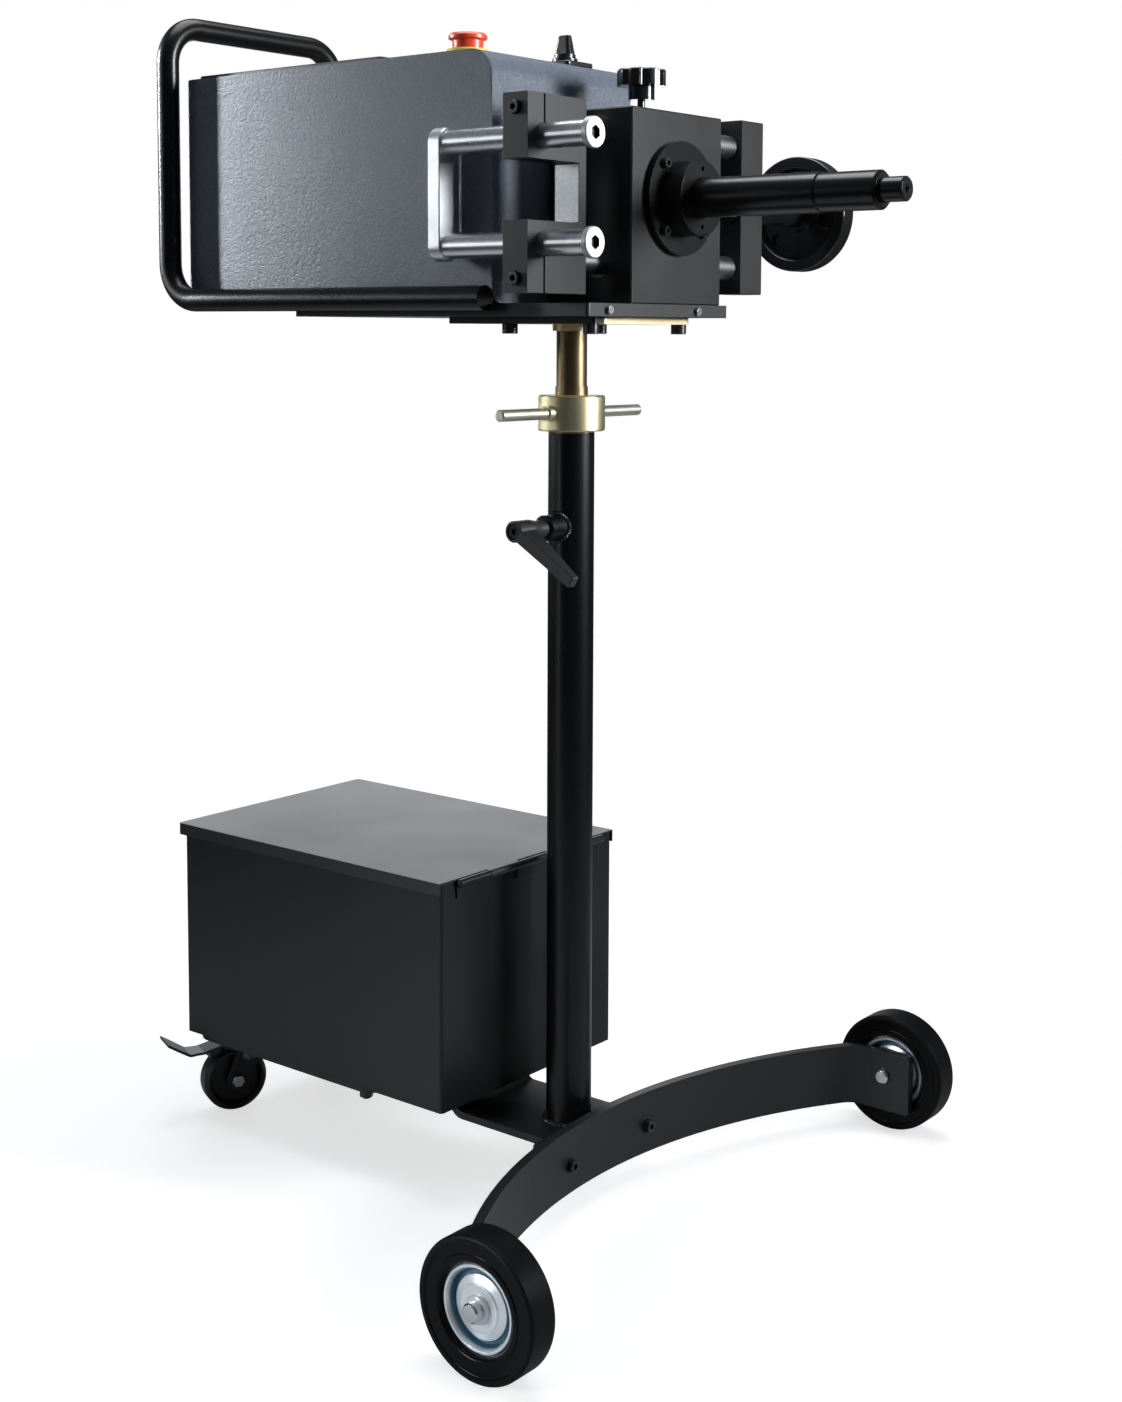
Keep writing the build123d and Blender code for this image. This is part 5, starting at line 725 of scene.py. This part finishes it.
YOKE_STEEL = TurnedMetal(
    "yoke_steel", colour=(0.95, 0.96, 0.98), roughness=0.36, pitch=0.5 * MM, stain=(0.72, 0.74, 0.77)
)
BRIGHT_STEEL = TurnedMetal("bright_steel", colour=(0.64, 0.63, 0.61), along=Along.Y)
INNER_STEEL = TurnedMetal("inner_steel", along=Along.X)
ZINC_SCREW = TurnedMetal("zinc_screw", colour=(0.72, 0.74, 0.75), roughness=0.22, along=Along.X)
YELLOW_ZINC = TurnedMetal(
    "yellow_zinc", colour=(0.84, 0.7, 0.42), roughness=0.4, pitch=1.2 * MM, stain=(0.76, 0.66, 0.45)
)
NUT_BRASS = TurnedMetal("nut_brass", colour=(0.8, 0.72, 0.47), roughness=0.36, stain=(0.7, 0.61, 0.38))
POST_BRASS = TurnedMetal(
    "post_brass", colour=(0.25, 0.19, 0.11), roughness=0.34, stain=(0.17, 0.125, 0.07)
)
BAR_STEEL = TurnedMetal(
    "bar_steel", colour=(0.7, 0.66, 0.58), roughness=0.4, along=Along.Y, stain=(0.6, 0.56, 0.49),
    mark=0.06,
)
BUSH_BRONZE = TurnedMetal(
    "bush_bronze", colour=(0.5, 0.37, 0.21), roughness=0.35, stain=(0.36, 0.26, 0.15)
)
MOTOR_CASTING = PowderCoat("motor_casting", colour=(0.2, 0.21, 0.22), roughness=0.5, worn=1.3)
KNOB_BLACK = Moulded("knob_black")
WHEEL_GLOSS = Moulded("wheel_gloss", roughness=0.18, coat=0.4)
STOP_RED = Moulded("stop_red", colour=(0.86, 0.085, 0.032), roughness=0.33)
STOP_YELLOW = Moulded("stop_yellow", colour=(0.85, 0.58, 0.06), roughness=0.4)
CASTER_RUBBER = Moulded("caster_rubber", colour=(0.008, 0.0085, 0.009), roughness=0.36)


def paint(node: str, finish: Finish) -> None:
    """Give a CAD node a finish.

    Args:
        node: the node's name.
        finish: its finish.
    """
    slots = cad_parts[node].material_slots
    if not slots:
        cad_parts[node].data.materials.append(material(finish))
    for slot in slots:
        slot.material = material(finish)


def middle(node: str) -> Vector:
    """The middle of a CAD node's box."""
    low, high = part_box(node)
    return (low + high) / 2


@dataclass
class Skin:
    """Corners and faces of one mesh."""

    corners: list[Vector] = field(default_factory=list)
    faces: list[tuple[int, ...]] = field(default_factory=list)

    def sweep(self, loops: Sequence[Sequence[Vector]], ring: bool = False) -> None:
        """Join closed loops, one after the next, into a skin.

        Args:
            loops: the loops, each with the same number of corners.
            ring: true where the last loop meets the first, and false to close both ends.
        """
        first = len(self.corners)
        count = len(loops[0])
        self.corners += [corner for loop in loops for corner in loop]
        for step in range(len(loops) - (0 if ring else 1)):
            here = first + step * count
            there = first + (step + 1) % len(loops) * count
            for side in range(count):
                after = (side + 1) % count
                self.faces.append((here + side, here + after, there + after, there + side))
        if not ring:
            last = first + (len(loops) - 1) * count
            self.faces.append(tuple(reversed(range(first, first + count))))
            self.faces.append(tuple(range(last, last + count)))

    def piece(self, name: str, finish: Finish) -> bpy.types.Object:
        """Make the object.

        Args:
            name: its name.
            finish: its finish.

        Returns:
            The new object.
        """
        mesh = bpy.data.meshes.new(name)
        mesh.from_pydata(self.corners, [], self.faces)
        work = bmesh.new()
        work.from_mesh(mesh)
        bmesh.ops.recalc_face_normals(work, faces=work.faces)
        work.to_mesh(mesh)
        work.free()
        mesh.shade_smooth()
        mesh.set_sharp_from_angle(angle=SHARP_EDGE)
        mesh.materials.append(material(finish))
        made = bpy.data.objects.new(name, mesh)
        bpy.context.scene.collection.objects.link(made)
        return made


@dataclass(frozen=True)
class ThreadedRod:
    """A turned rod with a cut thread between two places on its axis."""

    foot: Vector
    along: Vector
    across: Vector
    profile: tuple[Span, ...]
    thread_start: float
    thread_end: float
    crest: float
    pitch: float
    depth: float
    sides: int = 48
    half_flat: float = 0.18
    half_foot: float = 0.42
    thinnest: float = 0.02

    def _spoke(self, angle: float) -> Vector:
        """The direction out from the axis at an angle."""
        return self.across * math.cos(angle) + self.along.cross(self.across) * math.sin(angle)

    def _circle(self, height: float, radius: float) -> list[Vector]:
        """The corners of one circle about the axis."""
        centre = self.foot + self.along * height
        return [centre + self._spoke(math.tau * side / self.sides) * radius for side in range(self.sides)]

    def _section(self, turns: float, top: float) -> list[Vector]:
        """Cut the thread's ridge across.

        Args:
            turns: how many turns the thread has made there.
            top: the ridge's radius at its flat.

        Returns:
            The cut's four corners.
        """
        height = self.thread_start + self.pitch * (0.5 + turns)
        spoke = self._spoke(math.tau * turns)
        buried = self.crest - self.depth - self.depth / 2
        corners = (
            (-self.half_foot, buried), (-self.half_flat, top),
            (self.half_flat, top), (self.half_foot, buried),
        )
        return [
            self.foot + self.along * (height + offset * self.pitch) + spoke * radius
            for offset, radius in corners
        ]

    def skin(self) -> Skin:
        """Sweep the core and wind the thread on it, thin at both ends.

        Returns:
            The rod's skin.
        """
        skin = Skin()
        skin.sweep([self._circle(height, radius) for height, radius in self.profile])
        root = self.crest - self.depth
        steps = int((self.thread_end - self.thread_start - self.pitch) / self.pitch * self.sides)
        loops = []
        for step in range(steps + 1):
            full = min(1.0, step / self.sides, (steps - step) / self.sides)
            top = root + self.depth * max(full, self.thinnest)
            loops.append(self._section(step / self.sides, top))
        skin.sweep(loops)
        return skin


@dataclass(frozen=True)
class WeldBead:
    """A rippled bead of weld along a closed path."""

    path: tuple[Vector, ...]
    outward: tuple[Vector, ...]
    radius: float
    ripple: float = 0.16
    ripples: int = 40
    sides: int = 10

    def skin(self) -> Skin:
        """Sweep the bead round its path.

        Returns:
            The bead's skin.
        """
        skin = Skin()
        count = len(self.path)
        loops = []
        for step, (point, out) in enumerate(zip(self.path, self.outward)):
            ahead = (self.path[(step + 1) % count] - self.path[step - 1]).normalized()
            side = ahead.cross(out).normalized()
            wave = math.sin(math.tau * self.ripples * step / count)
            size = self.radius * (1.0 + self.ripple * wave)
            loops.append([
                point + (out * math.cos(turn) + side * math.sin(turn)) * size
                for turn in (math.tau * index / self.sides for index in range(self.sides))
            ])
        skin.sweep(loops, ring=True)
        return skin


@dataclass
class Assembly:
    """A sub-assembly: CAD nodes with their finishes, and the pieces made for it."""

    finishes: dict[str, Finish] = field(default_factory=dict)

    def build(self) -> list[bpy.types.Object]:
        """Make the sub-assembly's own meshes; most have none."""
        return []

    def looks(self) -> dict[str, Finish]:
        """The finish of every CAD node of the sub-assembly."""
        return self.finishes

    def dress(self) -> list[str]:
        """Give every CAD node of the sub-assembly its finish.

        Returns:
            The nodes' names.
        """
        looks = self.looks()
        for node, finish in looks.items():
            paint(node, finish)
        return list(looks)


@dataclass
class Stand(Assembly):
    """Beam, bow, column and the bolts that hold them, with the column's welds."""

    bead_steps: int = 320
    foot_bead: float = 3.25 * MM
    foot_gap: float = 0.6 * MM
    foot_lift: float = 0.4 * MM
    boss_radius: float = 13.5 * MM
    boss_bead: float = 2.6 * MM
    boss_gap: float = 0.4 * MM
    boss_lift: float = 0.3 * MM

    finishes: dict[str, Finish] = field(default_factory=lambda: {
        "base_beam": STAND_PAINT, "bar_mount_plate": STAND_PAINT, "front_arc_bar": STAND_PAINT,
        "column_tube": TUBE_PAINT, "stand_bolts": SCREW_BLACK, "column_guide_bush": BUSH_BRONZE,
        "front_axles": ZINC_SCREW,
    })

    def _turns(self) -> list[float]:
        """The angles of a bead's steps."""
        return [math.tau * step / self.bead_steps for step in range(self.bead_steps)]

    def _foot_weld(self, column: Vector, radius: float) -> WeldBead:
        """Lay the bead round the column's foot.

        Args:
            column: a point on the column's axis, on the floor.
            radius: the column's radius.

        Returns:
            The bead.
        """
        corner = column + UPWARD * (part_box("column_tube")[0].z + self.foot_lift)
        spokes = [FORWARD * math.cos(turn) + SIDEWAYS * math.sin(turn) for turn in self._turns()]
        return WeldBead(
            tuple(corner + spoke * (radius + self.foot_gap) for spoke in spokes),
            tuple((spoke + UPWARD).normalized() for spoke in spokes),
            self.foot_bead,
        )

    def _boss_weld(self, column: Vector, radius: float) -> WeldBead:
        """Lay the bead where the lever's boss meets the column.

        Args:
            column: a point on the column's axis, on the floor.
            radius: the column's radius.

        Returns:
            The bead.
        """
        height = middle("clamp_stud").z
        reach = self.boss_radius + self.boss_gap
        saddle, out = [], []
        for turn in self._turns():
            across, up = reach * math.cos(turn), reach * math.sin(turn)
            depth = math.sqrt(radius**2 - across**2) + self.boss_lift
            saddle.append(column + Vector((across, -depth, height + up)))
            out.append((FORWARD * math.cos(turn) + UPWARD * math.sin(turn) - SIDEWAYS).normalized())
        return WeldBead(tuple(saddle), tuple(out), self.boss_bead)

    def build(self) -> list[bpy.types.Object]:
        """Lay the weld at the column's foot and the one round the lever's boss.

        Returns:
            Both beads.
        """
        column = FORWARD * middle("column_guide_bush").x
        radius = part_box("column_tube")[1].y
        pieces = [
            self._foot_weld(column, radius).skin().piece("column_foot_weld", WELD_PAINT),
            self._boss_weld(column, radius).skin().piece("lever_boss_weld", WELD_PAINT),
        ]
        for piece in pieces:
            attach(piece, "stand")
        return pieces


@dataclass
class ToolBox(Assembly):
    """Sheet-metal box and its hinged lid."""

    finishes: dict[str, Finish] = field(default_factory=lambda: {
        "tool_box": BOX_PAINT, "tool_box_lid": LID_PAINT, "lid_hinge_pin": BRIGHT_STEEL,
    })


@dataclass
class FrontWheels(Assembly):
    """Two rubber tyres on pressed rims."""

    def looks(self) -> dict[str, Finish]:
        """Finish each wheel about its own axle.

        Returns:
            The finishes, by node.
        """
        looks: dict[str, Finish] = {}
        for side in SIDES:
            tyre = f"{side}_front_tyre"
            low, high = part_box(tyre)
            centre = tuple(middle(tyre))
            outside = (high.z - low.z) / 2
            looks[tyre] = TyreRubber(f"{side}_tyre_rubber", centre=centre, outside=outside)
            looks[f"{side}_front_rim"] = PressedRim(f"{side}_rim_zinc", centre=centre)
        return looks


@dataclass
class Casters(Assembly):
    """Swivelling forks with braked rollers."""

    finishes: dict[str, Finish] = field(default_factory=lambda: {
        "caster_fork": STAND_PAINT, "caster_pedal": LEVER_PAINT, "caster_axle": ZINC_SCREW,
        "caster_wheel": CASTER_RUBBER,
    })

    def looks(self) -> dict[str, Finish]:
        """The finishes, alike on both casters, and their plates'."""
        alike = {f"{side}_{node}": finish for side in SIDES for node, finish in self.finishes.items()}
        return {"caster_top_plates": STAND_PAINT, **alike}


@dataclass
class Lift(Assembly):
    """Threaded post, collar nut with its bars, and the clamp lever."""

    post_radius: float = 16.0 * MM
    piston_length: float = 25.0 * MM
    sleeve_radius: float = 17.0 * MM
    sleeve_length: float = 9.0 * MM
    spigot_radius: float = 13.0 * MM
    spigot_length: float = 13.8 * MM
    thread_pitch: float = 6.0 * MM
    thread_depth: float = 1.3 * MM
    chamfer: float = 1.5 * MM

    finishes: dict[str, Finish] = field(default_factory=lambda: {
        "lift_post": POST_BRASS, "collar_nut": NUT_BRASS, "tommy_bars": BAR_STEEL,
        "clamp_lever": LEVER_PAINT, "clamp_stud": SCREW_BLACK,
    })

    def build(self) -> list[bpy.types.Object]:
        """Turn the post, threaded as far up as the nut's top and smooth above it.

        Returns:
            The post.
        """
        low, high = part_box("lift_post")
        piston = (high.x - low.x) / 2
        root = self.post_radius - self.thread_depth
        thread_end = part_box("collar_nut")[1].z - low.z - self.chamfer
        sleeve = thread_end + self.chamfer
        neck = sleeve + self.sleeve_length
        length = high.z - low.z
        shoulder = length - self.spigot_length
        rod = ThreadedRod(
            foot=Vector((middle("lift_post").x, 0.0, low.z)), along=UPWARD, across=FORWARD,
            profile=(
                (0.0, piston - self.chamfer), (self.chamfer, piston),
                (self.piston_length, piston), (self.piston_length, root),
                (thread_end, root), (thread_end, self.post_radius),
                (sleeve, self.post_radius), (sleeve, self.sleeve_radius),
                (neck, self.sleeve_radius), (neck, self.post_radius),
                (shoulder, self.post_radius), (shoulder, self.spigot_radius),
                (length, self.spigot_radius),
            ),
            thread_start=self.piston_length + self.chamfer, thread_end=thread_end,
            crest=self.post_radius, pitch=self.thread_pitch, depth=self.thread_depth,
        )
        piece = rod.skin().piece("threaded_lift_post", POST_BRASS)
        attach(piece, "post")
        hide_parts("lift_post")
        return [piece]


@dataclass
class Head(Assembly):
    """Base plate, cover, handle and the gearbox with its spindle."""

    finishes: dict[str, Finish] = field(default_factory=lambda: {
        "post_flange_plate": YELLOW_ZINC, "flange_retainer": STAND_PAINT, "head_cap_screws": SCREW_BLACK,
        "base_plate": STAND_PAINT, "base_plate_screws": ZINC_SCREW, "cover_shell": COVER_PAINT,
        "top_hatch": HATCH_PAINT, "handle_frame": HANDLE_PAINT, "drive_motor": MOTOR_CASTING,
        "gearbox_housing": GEARBOX_BLACK, "gearbox_rear_plate": GEARBOX_BLACK,
        "spindle_flange": SPINDLE_BLACK, "spindle_bearings": INNER_STEEL, "spindle_shaft": SPINDLE_BLACK,
        "spindle_gear": INNER_STEEL, "pinion_shaft": INNER_STEEL, "guide_bushes": SCREW_BLACK,
    })


@dataclass
class Carriage(Assembly):
    """Tool block, end block, rods and the feed."""

    screw_radius: float = 8.0 * MM
    screw_seat: float = 22.0 * MM
    screw_sides: int = 36
    thread_pitch: float = 5.0 * MM
    thread_depth: float = 1.0 * MM
    chamfer: float = 1.5 * MM
    socket_floor: float = 5.5 * MM
    socket_rim: float = 0.4 * MM
    socket_reach: float = 7.5 * MM
    seat_face: float = -80.0 * MM
    seat_skin: float = 0.5 * MM
    seat_margin: float = 1.0 * MM
    seat_reach: float = 28.0 * MM

    finishes: dict[str, Finish] = field(default_factory=lambda: {
        "guide_rods": ROD_CHROME_Y, "block_clamp_screws": SCREW_BLACK, "feed_nut_sleeve": SLEEVE_BLACK,
        "handwheel": WHEEL_GLOSS, "tool_rods": ROD_CHROME_X, "tool_yoke": YOKE_STEEL,
        "feed_screw": BRIGHT_STEEL, "end_block": END_BLOCK_BLACK,
    })

    def build(self) -> list[bpy.types.Object]:
        """Cut the feed screw's thread.

        Returns:
            The screw.
        """
        low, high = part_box("feed_screw")
        axis = middle("feed_screw")
        length = high.y - low.y
        root = self.screw_radius - self.thread_depth
        end = length - self.chamfer
        rod = ThreadedRod(
            foot=Vector((axis.x, low.y, axis.z)), along=SIDEWAYS, across=FORWARD,
            profile=(
                (0.0, self.screw_radius), (self.screw_seat, self.screw_radius),
                (self.screw_seat, root), (end, root), (length, root - self.chamfer),
            ),
            thread_start=self.screw_seat, thread_end=end, crest=self.screw_radius,
            pitch=self.thread_pitch, depth=self.thread_depth, sides=self.screw_sides,
        )
        piece = rod.skin().piece("threaded_feed_screw", BRIGHT_STEEL)
        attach(piece, "head")
        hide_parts("feed_screw")
        return [piece]

    def _caps(self) -> SocketedCap:
        """Find the boxes of the caps' key sockets.

        Returns:
            The caps' finish.
        """
        low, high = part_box("tool_rod_caps")
        radius = (high.y - low.y) / 2
        side = middle("tool_rod_caps").y
        reach = self.socket_reach
        floor, rim = high.x - self.socket_floor, high.x - self.socket_rim
        return replace(CAP_STEEL, sockets=tuple(
            ((floor, side - reach, z - reach), (rim, side + reach, z + reach))
            for z in (low.z + radius, high.z - radius)
        ))

    def _block(self) -> MilledBlack:
        """Find the box of the tool's seat, which is left bare.

        Returns:
            The tool block's finish.
        """
        low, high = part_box("tool_block")
        z = middle("tool_rods").z
        return MilledBlack("block_black", bare=(
            (low.x + self.seat_margin, self.seat_face - self.seat_skin, z - self.seat_reach),
            (high.x - self.seat_margin, self.seat_face + self.seat_skin, z + self.seat_reach),
        ))

    def looks(self) -> dict[str, Finish]:
        """The finishes, with painted shade in the caps' sockets and the block's bare seat."""
        return {**self.finishes, "tool_rod_caps": self._caps(), "tool_block": self._block()}


@dataclass
class Controls(Assembly):
    """Stop button, switch and the rod lock."""

    finishes: dict[str, Finish] = field(default_factory=lambda: {
        "estop_button": STOP_RED, "estop_base": STOP_YELLOW, "switch_knob": KNOB_BLACK,
        "switch_plate": KNOB_BLACK, "lock_knob": WHEEL_GLOSS,
    })


@dataclass(frozen=True)
class Softbox:
    """A rectangular area light; its spread is in degrees."""

    name: str
    place: Corner
    aim: Corner
    width: float
    height: float
    power: float
    spread: float = 180.0
    colour: Colour = (0.93, 0.97, 1.0)

    def build(self) -> None:
        """Make the light, out of the camera's sight, and turn it to its aim."""
        data = bpy.data.lights.new(self.name, "AREA")
        data.shape = "RECTANGLE"
        data.size = self.width
        data.size_y = self.height
        data.energy = self.power
        data.spread = math.radians(self.spread)
        data.color = self.colour
        light = bpy.data.objects.new(self.name, data)
        light.location = self.place
        light.rotation_euler = (Vector(self.aim) - Vector(self.place)).to_track_quat("-Z", "Y").to_euler()
        light.visible_camera = False
        bpy.context.scene.collection.objects.link(light)


@dataclass
class Studio:
    """Floor, room, lights and the camera."""

    floor_size: float = 6.0
    room_heights: Span = (-0.2, 0.8)
    room_low: Colour = (0.02, 0.023, 0.027)
    room_high: Colour = (0.12, 0.13, 0.145)
    backdrop: Colour = (1.0, 1.0, 1.0)
    camera_from_column: Corner = (1292.5 * MM, -1612.5 * MM, 911.0 * MM)
    camera_azimuth: float = math.radians(38.295)
    camera_pitch: float = math.radians(5.14)
    camera_roll: float = math.radians(0.275)
    sensor_width: float = 36.0
    focal_pixels: float = 1989.5
    principal_point: Span = (585.5, 510.0)
    softboxes: tuple[Softbox, ...] = (
        Softbox("left_softbox", place=(-1.1, -0.445, 1.3), aim=(-0.387, -0.082, 1.09),
                width=0.05, height=0.6, power=0.57, spread=18.0),
        Softbox("far_left_softbox", place=(-2.41, -1.05, 1.5), aim=(-0.1, -0.113, 1.1),
                width=0.1, height=0.6, power=1.2, spread=30.0),
        Softbox("left_front_softbox", place=(-1.75, -2.05, 1.3), aim=(0.1, -0.1, 1.1),
                width=0.9, height=1.0, power=3.0),
        Softbox("overhead_softbox", place=(-0.2, 0.3, 3.2), aim=(0.0, 0.0, 0.4),
                width=2.0, height=2.0, power=60.0),
        Softbox("right_front_softbox", place=(2.37, 1.06, 1.45), aim=(0.1, 0.0, 1.1),
                width=0.6, height=0.9, power=12.0, spread=60.0),
        Softbox("back_softbox", place=(-2.25, 2.1, 1.08), aim=(-0.15, 0.0, 0.35),
                width=2.0, height=1.2, power=17.0),
        Softbox("wheel_softbox", place=(-0.7, -2.1, 0.6), aim=(0.29, -0.38, 0.06),
                width=0.5, height=0.5, power=1.6, spread=40.0),
    )

    def build_floor(self) -> None:
        """Lay a pale plain floor under the wheels."""
        mesh = bpy.data.meshes.new("studio_floor")
        grid = bmesh.new()
        bmesh.ops.create_grid(grid, x_segments=1, y_segments=1, size=self.floor_size / 2)
        grid.to_mesh(mesh)
        grid.free()
        floor = bpy.data.objects.new("studio_floor", mesh)
        bpy.context.scene.collection.objects.link(floor)
        mesh.materials.append(material(StudioFloor("studio_floor")))

    def build_room(self) -> None:
        """Surround the scene with a dim room that the camera sees as white."""
        world = bpy.data.worlds.new("studio_room")
        bpy.context.scene.world = world
        world.use_nodes = True
        room = Graph(world.node_tree)
        direction = room.signal("ShaderNodeTexCoord", {}, {}, "Generated")
        height = room.spread(room.part(direction, Along.Z), *self.room_heights)
        walls = room.blend(height, self.room_low, self.room_high)
        glow = room.signal("ShaderNodeBackground", {}, {"Color": walls})
        backdrop = room.signal("ShaderNodeBackground", {}, {"Color": _rgba(self.backdrop)})
        seen = room.signal("ShaderNodeLightPath", {}, {}, "Is Camera Ray")
        mixed = room.signal("ShaderNodeMixShader", {}, {0: seen, 1: glow, 2: backdrop})
        room.node("ShaderNodeOutputWorld", {}, {"Surface": mixed})

    def build_camera(self) -> None:
        """Stand the camera where the photograph was taken from."""
        width, height = PHOTO_SIZE
        long_side = max(PHOTO_SIZE)
        data = bpy.data.cameras.new("studio_camera")
        data.sensor_width = self.sensor_width
        data.lens = self.focal_pixels * self.sensor_width / long_side
        data.shift_x = (width / 2 - self.principal_point[0]) / long_side
        data.shift_y = (self.principal_point[1] - height / 2) / long_side
        camera = bpy.data.objects.new("studio_camera", data)
        camera.location = FORWARD * middle("column_tube").x + Vector(self.camera_from_column)
        turn = Euler((math.pi / 2 - self.camera_pitch, 0.0, self.camera_azimuth), "XYZ").to_matrix()
        camera.rotation_euler = (turn @ Matrix.Rotation(self.camera_roll, 3, "Z")).to_euler()
        bpy.context.scene.collection.objects.link(camera)
        bpy.context.scene.camera = camera

    def build(self) -> None:
        """Set up the whole studio."""
        self.build_floor()
        self.build_room()
        for softbox in self.softboxes:
            softbox.build()
        self.build_camera()
        bpy.context.scene.view_settings.view_transform = "Standard"


def main() -> None:
    """Build and dress every sub-assembly, then the studio."""
    logging.basicConfig(level=logging.INFO, format="%(name)s: %(message)s")
    assemblies: list[Assembly] = [
        Stand(), ToolBox(), FrontWheels(), Casters(), Lift(), Head(), Carriage(), Controls(),
    ]
    for assembly in assemblies:
        LOG.info("building %s", type(assembly).__name__)
        for piece in assembly.build():
            LOG.info("made %s", piece.name)
        for node in assembly.dress():
            LOG.info("dressed %s", node)
    Studio().build()


if __name__ == "__main__":
    main()
